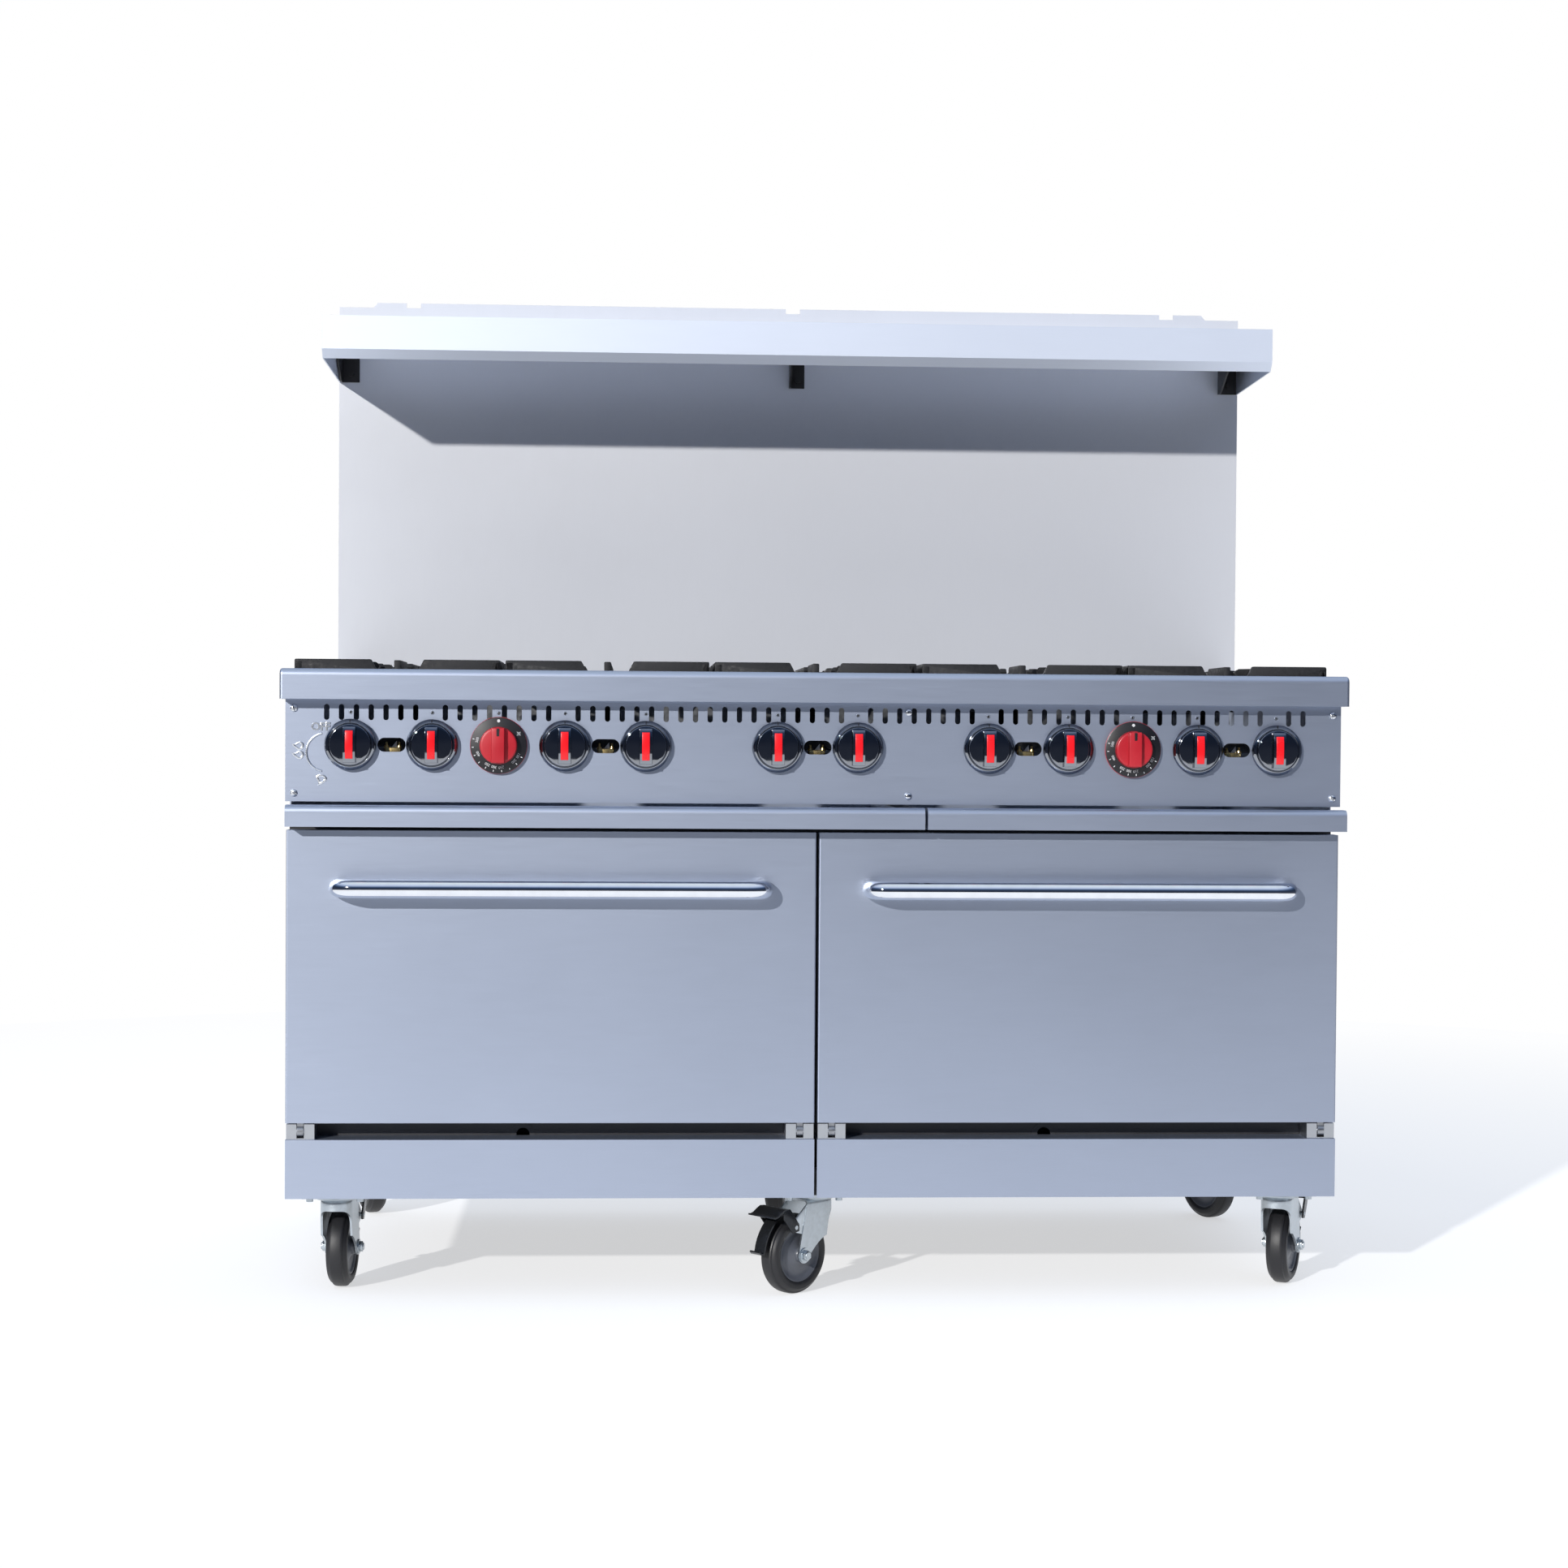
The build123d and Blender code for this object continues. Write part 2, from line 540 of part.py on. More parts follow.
def deck_ledges(x):
    """Ledges on the liner's sides that the deck rests on."""
    half = CAVITY_WIDTH / 2
    d0 = FRONT_FRAME_D + SHEET
    z1 = OVEN_SILL_Z - DECK_THICK
    ledges = []
    for side in (-1, 1):
        xs = sorted((x + side * half, x + side * (half - GUIDE_LEDGE)))
        ledges.append(block(*xs, d0, d0 + CAVITY_DEPTH, z1 - DECK_LEDGE_THICK, z1))
    return ledges


def oven_burner(x):
    """Twin-leg tube burner under the deck, fed from the front."""
    z = (BURNER_BAY_Z + OVEN_SILL_Z) / 2 - 6
    d0 = FRONT_FRAME_D + SHEET + OVEN_BURNER_FRONT
    d1 = d0 - OVEN_BURNER_FRONT + CAVITY_DEPTH - OVEN_BURNER_REAR
    leg = CAVITY_WIDTH / 4
    end = leg + OVEN_BURNER_R + 6
    deep = OVEN_BURNER_BOX
    box = block(x - end, x + end, d0 - deep, d0 + deep, z - deep, z + deep)
    for side in (-1, 1):
        box += rod_y(x + side * leg, d0, d1, z, OVEN_BURNER_R)
    return box + rod_y(x, d0 - OVEN_BURNER_FRONT, d0, z, OVEN_BURNER_R - 2)


def rack_guide(x, side):
    """Side ladder with a ledge pair for each rack level."""
    wall = x + side * CAVITY_WIDTH / 2
    d0 = FRONT_FRAME_D + SHEET + GUIDE_FRONT
    d1 = d0 + CAVITY_DEPTH - 2 * GUIDE_FRONT
    guide = None
    for level in RACK_LEVELS:
        z = level - RACK_ROD_R
        xs = sorted((wall, wall - side * GUIDE_LEDGE))
        ledge = block(*xs, d0, d1, z - GUIDE_THICK, z)
        guide = ledge if guide is None else guide + ledge
    xs = sorted((wall, wall - side * GUIDE_THICK))
    for d in (d0 + 2 * GUIDE_POST, d1 - 3 * GUIDE_POST):
        guide += block(*xs, d, d + GUIDE_POST, OVEN_SILL_Z + GUIDE_POST, OVEN_HEAD_Z - GUIDE_POST)
    return guide


def oven_rack(x, level):
    """Wire rack: a rod frame with wires laid across it."""
    half = CAVITY_WIDTH / 2 - RACK_SIDE
    d0 = FRONT_FRAME_D + SHEET + RACK_FRONT
    d1 = d0 - RACK_FRONT + CAVITY_DEPTH - RACK_REAR
    r = RACK_ROD_R
    rack = rod_x(x - half, x + half, d0, level, r)
    rack += rod_x(x - half, x + half, d1, level, r)
    for side in (-1, 1):
        rack += rod_y(x + side * (half - r), d0, d1, level, r)
    step = 2 * (half - r) / (RACK_WIRES + 1)
    for i in range(RACK_WIRES):
        rack += rod_y(x - half + r + step * (i + 1), d0, d1, level + r / 2, RACK_WIRE_R)
    return rack


def tray_runners():
    """Ledges inside the cabinet that the trays slide on."""
    z1 = TRAY_FLOOR_Z - CLEAR
    wall = HALF_BODY - SHEET
    inner = wall - TRAY_SIDE - 10
    seam = TRAY_SIDE + 12
    spans = [(-wall, -inner), (TRAY_SEAM_X - seam, TRAY_SEAM_X + seam), (inner, wall)]
    return [block(x0, x1, FRONT_FRAME_D + 20, SPLASH_D - 20, z1 - SHEET, z1) for x0, x1 in spans]


# ---- top section
def top_frame():
    """Frame that carries the grates above the burners."""
    half = HALF_BODY - SHEET - CLEAR
    z0 = RAIL_TOP_Z - TOP_BAR_DROP
    z1 = z0 + TOP_BAR_THICK
    d_rows = (GRATE_FRONT_D, GRATE_FRONT_D + SEAM + GRATE_SIZE_Y - 6, SPLASH_D - TOP_BAR - CLEAR)
    bars = [block(-half, half, d, d + TOP_BAR, z0, z1) for d in d_rows]
    for side in (-1, 1):
        xs = sorted((side * half, side * (half - TOP_BAR + 3)))
        bars.append(block(*xs, d_rows[0] + TOP_BAR, d_rows[1], z0, z1))
        bars.append(block(*xs, d_rows[1] + TOP_BAR, d_rows[2], z0, z1))
    return bars


def burner_body(x, d, knob_x):
    """Cast venturi that runs back from its valve to the burner's throat."""
    z = KNOB_Z + VENTURI_RISE
    half = VENTURI_R + 2
    pipe = rod_y(knob_x, MANIFOLD_D + 34, d, z, VENTURI_R)
    mouth = rod_y(knob_x, MANIFOLD_D + 34, MANIFOLD_D + 60, z, VENTURI_MOUTH_R)
    xs = sorted((knob_x, x))
    arm = rod_x(*xs, d, z, VENTURI_R - 1)
    elbow = block(knob_x - half, knob_x + half, d - half, d + half, z - half, z + half)
    bowl_z = RAIL_TOP_Z - BOWL_DROP
    riser = rod_z(x, d, z - VENTURI_R, bowl_z, VENTURI_MOUTH_R)
    bowl = rod_z(x, d, bowl_z, bowl_z + BOWL_THICK, BOWL_R)
    return pipe + mouth + elbow + arm + riser + bowl


def burner_head(x, d):
    """Lift-off cap with a ring of flame ports."""
    z0 = RAIL_TOP_Z - BOWL_DROP + BOWL_THICK
    z1 = z0 + CAP_THICK
    cap = rod_z(x, d, z0, z1, CAP_R) + rod_z(x, d, z1, z1 + CAP_STEP, CAP_STEP_R)
    centre = rod_z(x, d, z0 + CAP_THICK / 2, z1 + CAP_STEP + 1, CAP_EYE_R)
    ports = []
    for i in range(FLAME_PORTS):
        turn = Rot(0, 0, i * 360 / FLAME_PORTS)
        place = Pos(x, row(d), z0 + CAP_THICK / 2) * turn * Pos(CAP_R - 2, 0, 0)
        ports.append(place * Box(*FLAME_PORT))
    return (cap - centre).cut(*[s for p in ports for s in p.solids()])


def grate(x, d):
    """Grate of flat bars: a low ring, raised corners and eight fingers that point at the burner."""
    half_x = GRATE_SIZE_X / 2
    half_y = GRATE_SIZE_Y / 2
    in_x = half_x - GRATE_BAR
    in_y = half_y - GRATE_BAR
    z0 = RAIL_TOP_Z - GRATE_SINK
    ring_z = z0 + GRATE_RING
    low = z0 + GRATE_FINGER_RISE
    top = GRATE_TOP_Z
    thin = GRATE_FINGER / 2

    def bar(x_ends, y_ends, z_low, z_high):
        xs = sorted(x_ends)
        ys = sorted(y_ends)
        return block(x + xs[0], x + xs[1], d + ys[0], d + ys[1], z_low, z_high)

    bars = []
    for s in (-1, 1):
        bars.append(bar((-half_x, half_x), (s * in_y, s * half_y), z0, ring_z))
        bars.append(bar((s * in_x, s * half_x), (-in_y, in_y), z0, ring_z))
        bars.append(bar((s * GRATE_EYE, s * in_x), (-thin, thin), low, top))
        bars.append(bar((s * in_x, s * half_x), (-thin, thin), ring_z, top))
        bars.append(bar((-thin, thin), (s * GRATE_EYE, s * in_y), low, top))
        bars.append(bar((-thin, thin), (s * in_y, s * half_y), ring_z, top))
        for t in (-1, 1):
            bars.append(bar((t * GRATE_DIP, t * half_x), (s * in_y, s * half_y), ring_z, top))
            bars.append(bar((s * in_x, s * half_x), (t * GRATE_DIP, t * in_y), ring_z, top))
    inside = bar((-in_x, in_x), (-in_y, in_y), low, top)
    corner = math.degrees(math.atan2(in_y, in_x))
    for turn in (corner, 180 - corner, 180 + corner, -corner):
        reach = math.hypot(half_x, half_y)
        finger = Box(reach, GRATE_FINGER, top - low, align=(Align.MIN, Align.CENTER, Align.MIN))
        place = Pos(x, row(d), low) * Rot(0, 0, turn) * Pos(GRATE_EYE * 1.3, 0, 0)
        bars.append((place * finger) & inside)
    return bars


def gas_manifold():
    """Manifold pipe behind the panel, with the supply run back to the rear inlet."""
    x0 = min(KNOB_XS) - 30
    rear = BODY_DEPTH + INLET_PROUD
    pipe = rod_x(x0, INLET_X, MANIFOLD_D, MANIFOLD_Z, MANIFOLD_R)
    elbow = Pos(INLET_X, row(MANIFOLD_D), MANIFOLD_Z) * Sphere(MANIFOLD_R + 4)
    run = rod_y(INLET_X, MANIFOLD_D, BODY_DEPTH + COUPLING_PROUD, MANIFOLD_Z, COUPLING_R)
    return pipe + elbow + run + rod_y(INLET_X, BODY_DEPTH, rear, MANIFOLD_Z, PIPE_R)


def gas_valve(x):
    """Tap on the manifold: body, outlet jet and a blind bore for the stem."""
    z0 = MANIFOLD_Z + MANIFOLD_R - 3
    d0 = PANEL_D + SHEET + VALVE_LEAD
    body = block(x - VALVE_HALF, x + VALVE_HALF, d0, MANIFOLD_D + 12, z0, KNOB_Z + 12)
    jet = rod_y(x, MANIFOLD_D + 12, MANIFOLD_D + 28, KNOB_Z + VENTURI_RISE, 6)
    bore = rod_y(x, d0 - 1, d0 + STEM_BORE, KNOB_Z, STEM_R + STEM_FIT)
    pipe = rod_x(x - 20, x + 20, MANIFOLD_D, MANIFOLD_Z, MANIFOLD_R)
    return body + jet - bore - pipe


def oven_thermostat(x):
    """Oven control on the manifold, larger than a tap, with a bore for its stem."""
    z0 = MANIFOLD_Z + MANIFOLD_R - 3
    d0 = PANEL_D + SHEET + VALVE_LEAD
    half = DIAL_VALVE_HALF
    body = block(x - half, x + half, d0, MANIFOLD_D + 26, z0, KNOB_Z + 22)
    bore = rod_y(x, d0 - 1, d0 + STEM_BORE, KNOB_Z, STEM_R + STEM_FIT)
    pipe = rod_x(x - 30, x + 30, MANIFOLD_D, MANIFOLD_Z, MANIFOLD_R)
    return body - bore - pipe


def stem(x, d_front):
    """Control stem, from inside its knob back into the tap."""
    return rod_y(x, d_front, PANEL_D + SHEET + 30, KNOB_Z, STEM_R)


def burner_knob(x):
    """Round skirt, raised disc and a grip bar, on its stem."""
    d1 = PANEL_D - KNOB_GAP
    d_skirt = d1 - KNOB_SKIRT
    d_disc = d_skirt - KNOB_DISC
    place = Pos(x, row((d1 + d_skirt) / 2), KNOB_Z) * Rot(90, 0, 0)
    skirt = place * Cone(KNOB_R, KNOB_DISC_R + 3, KNOB_SKIRT)
    disc = rod_y(x, d_disc, d_skirt, KNOB_Z, KNOB_DISC_R)
    width, height, grip = KNOB_GRIP
    bar = block(x - width / 2, x + width / 2, d_disc - grip, d_disc, KNOB_Z - height / 2, KNOB_Z + height / 2)
    return skirt + disc + bar + stem(x, d_disc)


def thermostat_knob(x):
    """Flat numbered dial with a round knob and a grip bar, on its stem."""
    d1 = PANEL_D - KNOB_GAP + 1
    d_dial = d1 - DIAL_THICK
    d_knob = d_dial - DIAL_KNOB_THICK
    width, height, grip = DIAL_GRIP
    dial = rod_y(x, d_dial, d1, KNOB_Z, DIAL_R)
    knob = rod_y(x, d_knob, d_dial, KNOB_Z, DIAL_KNOB_R)
    bar = block(x - width / 2, x + width / 2, d_knob - grip, d_knob, KNOB_Z - height / 2, KNOB_Z + height / 2)
    return dial + knob + bar + stem(x, d_knob)


# ---- backsplash and shelf
def backsplash():
    """Hollow back riser, open below, with a notched upstand along its front sheet."""
    half = HALF
    box = block(-half, half, SPLASH_D, BODY_DEPTH, RAIL_BOTTOM_Z, SPLASH_TOP_Z)
    box -= block(-half + SHEET, half - SHEET, SPLASH_D + SHEET, BODY_DEPTH - SHEET,
                 RAIL_BOTTOM_Z - 1, SPLASH_TOP_Z - SHEET)
    rise = half - UPSTAND_SIDE
    root = rise + UPSTAND_SLOPE
    lip = plate_y([(-root, SPLASH_TOP_Z), (-rise, TOP_Z), (rise, TOP_Z), (root, SPLASH_TOP_Z)],
                  SPLASH_D, SPLASH_D + SHEET)
    notch = NOTCH_WIDTH / 2
    for x in (-half + NOTCH_SIDE, 0, half - NOTCH_SIDE):
        lip -= block(x - notch, x + notch, SPLASH_D - 1, SPLASH_D + SHEET + 1, SPLASH_TOP_Z, TOP_Z + 1)
    return box + lip


def high_shelf():
    """Folded shelf with a deep front face, an angled return and closed ends."""
    d0 = SPLASH_D - SHELF_DEPTH
    z0 = SHELF_TOP_Z - SHELF_FACE
    top = block(-HALF, HALF, d0, SPLASH_D, SHELF_TOP_Z - SHEET, SHELF_TOP_Z)
    face = block(-HALF, HALF, d0, d0 + SHEET, z0, SHELF_TOP_Z)
    back, down = SHELF_RETURN
    flange = plate_x([(d0, z0), (d0 + SHEET, z0 + SHEET), (d0 + back + SHEET, z0 - down + SHEET),
                      (d0 + back, z0 - down)], -HALF, HALF)
    shelf = top + face + flange
    for side in (-1, 1):
        xs = sorted((side * HALF, side * (HALF - SHEET)))
        shelf += plate_x([(d0, z0), (d0 + back, z0 - down), (SPLASH_D, z0 - SHELF_END_DROP),
                          (SPLASH_D, SHELF_TOP_Z), (d0, SHELF_TOP_Z)], xs[0], xs[1])
    return shelf


def shelf_bracket(x0, x1, reach):
    """Folded gusset that holds the shelf to the backsplash, with its bolts."""
    z1 = SHELF_TOP_Z - SHEET
    z0 = SHELF_TOP_Z - SHELF_FACE - SHELF_END_DROP
    d0 = SPLASH_D - reach
    w = BRACKET_SHEET
    web = plate_x([(d0, z1), (SPLASH_D, z1), (SPLASH_D, z0), (SPLASH_D - BRACKET_LEG, z0)], x0, x0 + w)
    foot = block(x0, x1, SPLASH_D - w, SPLASH_D, z0, z1)
    cap = block(x0, x1, d0, SPLASH_D, z1 - w, z1)
    bolt_z = z0 + BRACKET_BOLT_RISE
    bolts = rod_y((x0 + x1) / 2 + 2, SPLASH_D - w - BRACKET_BOLT_R, SPLASH_D - w, bolt_z, BRACKET_BOLT_R)
    return web + foot + cap + bolts


# ---- doors
def door_frame(side):
    """Left and right edge of a door."""
    centre = OVEN_XS["left" if side < 0 else "right"]
    return centre - DOOR_WIDTH / 2, centre + DOOR_WIDTH / 2


def door_skin(side):
    """Outer door pan in brushed sheet, open to the rear."""
    x0, x1 = door_frame(side)
    w = DOOR_SKIN_WALL
    pan = block(x0, x1, DOOR_D, DOOR_D + DOOR_SKIN_DEPTH, DOOR_BOTTOM_Z, DOOR_TOP_Z)
    rim = pan.edges().filter_by(Axis.Z).group_by(Axis.Y)[0]
    pan = fillet(rim, 2)
    return pan - block(x0 + w, x1 - w, DOOR_D + w, DOOR_D + DOOR_SKIN_DEPTH + 1,
                       DOOR_BOTTOM_Z + w, DOOR_TOP_Z - w)


def door_leaf_xs(side):
    """Centres of a door's two hinge leaves."""
    x0, x1 = door_frame(side)
    return x0 + BRACKET_WIDTH / 2, x1 - BRACKET_WIDTH / 2


def door_liner(side):
    """Inner door pan, open to the front, with the two hinge leaves."""
    x0, x1 = door_frame(side)
    w = DOOR_SKIN_WALL
    inset = DOOR_LINER_INSET
    d0 = DOOR_D + DOOR_SKIN_DEPTH
    d1 = DOOR_D + DOOR_THICK
    pan = block(x0, x1, d0, d0 + w, DOOR_BOTTOM_Z, DOOR_TOP_Z)
    pan += block(x0 + inset, x1 - inset, d0, d1, DOOR_BOTTOM_Z + inset, DOOR_TOP_Z - inset)
    pan -= block(x0 + inset + w, x1 - inset - w, d0 - 1, d1 - w,
                 DOOR_BOTTOM_Z + inset + w, DOOR_TOP_Z - inset - w)
    leaves = []
    for x in door_leaf_xs(side):
        r = HINGE_PIN_R + HINGE_KNUCKLE
        half = HINGE_LEAF / 2
        leaf = rod_x(x - half, x + half, HINGE_D, HINGE_Z, r)
        leaf += block(x - half, x + half, HINGE_D - 4, HINGE_D + r, HINGE_Z, DOOR_BOTTOM_Z)
        leaves.append(leaf - rod_x(x - 2 * half, x + 2 * half, HINGE_D, HINGE_Z, HINGE_PIN_R + HINGE_FIT))
    return [pan] + leaves


def door_handle(side):
    """Bent tube handle."""
    x0, x1 = door_frame(side)
    x0 += HANDLE_INSET + HANDLE_R
    x1 -= HANDLE_INSET + HANDLE_R
    d_bar = DOOR_D - HANDLE_PROUD + HANDLE_R
    points = [(x0, row(DOOR_D), HANDLE_Z), (x0, row(d_bar), HANDLE_Z),
              (x1, row(d_bar), HANDLE_Z), (x1, row(DOOR_D), HANDLE_Z)]
    path = FilletPolyline(*points, radius=HANDLE_BEND_R)
    start = Plane(origin=points[0], z_dir=(0, -1, 0))
    outer = sweep(start * Circle(HANDLE_R), path=path)
    inner = sweep(start * Circle(HANDLE_R - HANDLE_WALL), path=path)
    return outer - inner


def hinge_bracket(x):
    """Slotted block with a cross pin, on the frame below a door corner."""
    half = BRACKET_WIDTH / 2 - CLEAR
    slot = HINGE_LEAF / 2 + HINGE_SIDE_CLEAR
    d0 = HINGE_D - BRACKET_FRONT_LEAD
    z1 = DOOR_BOTTOM_Z - BRACKET_TOP_DROP
    body = block(x - half, x + half, d0, FRONT_FRAME_D - CLEAR, KICK_TOP_Z, z1)
    body -= block(x - slot, x + slot, d0 - 1, HINGE_D + 16, KICK_TOP_Z + 2, z1 + 1)
    return body + rod_x(x - half, x + half, HINGE_D, HINGE_Z, HINGE_PIN_R)


# ---- trays
def drip_tray(x0, x1):
    """Pull-out crumb tray: front lip with a rounded top, then a shallow pan."""
    lip = block(x0, x1, 0, PANEL_D - 2 * CLEAR, TRAY_BOTTOM_Z, TRAY_TOP_Z)
    crown = lip.edges().filter_by(Axis.X).sort_by(lambda e: e.center().Z - e.center().Y)[-1]
    lip = fillet(crown, RAIL_NOSE_R)
    w = SHEET
    hollow = block(x0 + w, x1 - w, w, PANEL_D, TRAY_BOTTOM_Z - 1, TRAY_TOP_Z - w)
    edge = hollow.edges().filter_by(Axis.X).sort_by(lambda e: e.center().Z - e.center().Y)[-1]
    lip -= fillet(edge, RAIL_NOSE_R - w)
    p0 = max(x0, -HALF_BODY) + TRAY_SIDE
    p1 = min(x1, HALF_BODY) - TRAY_SIDE
    d0 = w
    pan = block(p0, p1, d0, TRAY_REAR_D, TRAY_FLOOR_Z, TRAY_WALL_Z)
    pan -= block(p0 + w, p1 - w, d0 + w, TRAY_REAR_D - w, TRAY_FLOOR_Z + w, TRAY_WALL_Z + 1)
    return lip + pan


TRAYS = {"left": (-HALF_BODY + TRAY_OVERHANG, TRAY_SEAM_X - SEAM / 2),
         "right": (TRAY_SEAM_X + SEAM / 2, HALF_BODY + TRAY_OVERHANG)}


# ---- casters
def turned(shape, spot, angle):
    """Place a caster piece, built with its trail along +X, at its spot."""
    x, d = spot
    return Pos(x, row(d), 0) * Rot(0, 0, angle) * shape


def slab_xz(points, y0, y1):
    """Profile of (x, z) points in a caster's own frame, extruded along its Y."""
    outline = Polyline(*[(x, y0, z) for x, z in points], close=True)
    return extrude(make_face(outline), amount=y1 - y0, dir=(0, 1, 0))


def cross_rod(x, z, y0, y1, r):
    """Round bar along a caster's own Y."""
    return Pos(x, (y0 + y1) / 2, z) * Rot(90, 0, 0) * Cylinder(r, y1 - y0)


def caster_plate(spot):
    """Fixed top plate with its raceway, kingpin and four bolts."""
    x, d = spot
    half = PLATE_SIZE / 2
    plate = block(x - half, x + half, d - half, d + half, PLATE_BOTTOM_Z, CASTER_HEIGHT)
    race = rod_z(x, d, PLATE_BOTTOM_Z - RACE_DROP + CLEAR, PLATE_BOTTOM_Z, RACE_R)
    pin = rod_z(x, d, PLATE_BOTTOM_Z - 13, PLATE_BOTTOM_Z, KINGPIN_R)
    plate = plate + race + pin
    for sx in (-1, 1):
        for sy in (-1, 1):
            bolt_x = x + sx * (half - PLATE_BOLT_EDGE)
            bolt_d = d + sy * (half - PLATE_BOLT_EDGE)
            plate += rod_z(bolt_x, bolt_d, PLATE_BOTTOM_Z - PLATE_BOLT_R, PLATE_BOTTOM_Z, PLATE_BOLT_R)
    return plate


def caster_fork(spot, angle):
    """Pressed fork that turns on the kingpin, with the axle bolt across its legs."""
    half = FORK_INNER
    z_top = PLATE_BOTTOM_Z - RACE_DROP
    z_low = z_top - FORK_SHEET
    crown = Pos(0, 0, (z_top + z_low) / 2) * Cylinder(CROWN_R, FORK_SHEET)
    crown &= Pos(0, 0, z_low) * Box(3 * CROWN_R, 2 * FORK_OUTER, 20)
    fork = crown
    for side in (-1, 1):
        ys = sorted((side * half, side * FORK_OUTER))
        leg = slab_xz([(-27, z_top), (31, z_top), (TRAIL + 16, WHEEL_R + 2), (TRAIL + 9, WHEEL_R - 12),
                       (TRAIL - 9, WHEEL_R - 12), (TRAIL - 20, WHEEL_R + 8), (-24, z_top - 26)], *ys)
        fork += leg
    fork -= Pos(0, 0, z_low) * Cylinder(KINGPIN_R + KINGPIN_FIT, 30)
    for side in (-1, 1):
        fork -= cross_rod(TRAIL, WHEEL_R, *sorted((side * (half - 1), side * (FORK_OUTER + 1))), AXLE_R)
    axle = cross_rod(TRAIL, WHEEL_R, -FORK_OUTER, FORK_OUTER, AXLE_R)
    for side in (-1, 1):
        ys = sorted((side * FORK_OUTER, side * (FORK_OUTER + AXLE_HEAD)))
        axle += cross_rod(TRAIL, WHEEL_R, *ys, AXLE_HEAD_R)
    return turned(fork, spot, angle), turned(axle, spot, angle)


def caster_wheel(spot, angle):
    """Rubber tyre on a dished hub, bored for the axle."""
    half = WHEEL_WIDTH / 2
    tyre = cross_rod(TRAIL, WHEEL_R, -half, half, WHEEL_R)
    rims = tyre.edges().filter_by(GeomType.CIRCLE)
    tyre = fillet(rims, TYRE_ROUND)
    boss = half + FORK_GAP - BOSS_CLEAR
    bore = cross_rod(TRAIL, WHEEL_R, -boss - 1, boss + 1, AXLE_R + AXLE_FIT)
    wheel = tyre
    for side in (-1, 1):
        ys = sorted((side * (half - 3), side * (half + 1)))
        dish = cross_rod(TRAIL, WHEEL_R, *ys, HUB_R)
        wheel -= dish - cross_rod(TRAIL, WHEEL_R, *ys, BOSS_R + 3)
    wheel += cross_rod(TRAIL, WHEEL_R, -boss, boss, BOSS_R)
    return turned(wheel - bore, spot, angle)


def brake_ears(spot, angle):
    """Ears on the fork's legs with the stub pins that the brake pedal rocks on."""
    px, pz = BRAKE_PIVOT
    pieces = []
    for side in (-1, 1):
        ys = sorted((side * FORK_INNER, side * FORK_OUTER))
        ear = slab_xz([(TRAIL - 8, WHEEL_R + 76), (px + 6, pz + 4), (px + 5, pz - 6),
                       (TRAIL - 2, WHEEL_R + 30)], *ys)
        stub = cross_rod(px, pz, *sorted((side * FORK_INNER, side * (FORK_OUTER + 6))), BRAKE_PIN_R)
        pieces.append(turned(ear + stub, spot, angle))
    return pieces


def caster_brake(spot, angle):
    """Rocking brake pedal: two cheeks outside the fork joined by an upper and a lower tab."""
    px, pz = BRAKE_PIVOT
    y_in = FORK_OUTER + BRAKE_CLEAR
    y_out = y_in + BRAKE_SHEET
    upper = [(px + 14, pz + 22), (px + 38, pz + 18), (px + 38, pz + 21), (px + 14, pz + 25)]
    lower = [(px + 40, pz - 15), (px + 51, pz - 12), (px + 51, pz - 9), (px + 40, pz - 11)]
    pedal = slab_xz(upper, -y_out, y_out) + slab_xz(lower, -y_out, y_out)
    for side in (-1, 1):
        ys = sorted((side * y_in, side * y_out))
        cheek = slab_xz([(px - 7, pz - 7), (px + 8, pz - 7), (px + 42, pz - 16), (px + 44, pz - 8),
                         (px + 22, pz + 20), (px + 16, pz + 25), (px - 6, pz + 8)], *ys)
        pedal += cheek
    bore = cross_rod(px, pz, -y_out - 1, y_out + 1, BRAKE_PIN_R + STEM_FIT)
    return turned(pedal - bore, spot, angle)


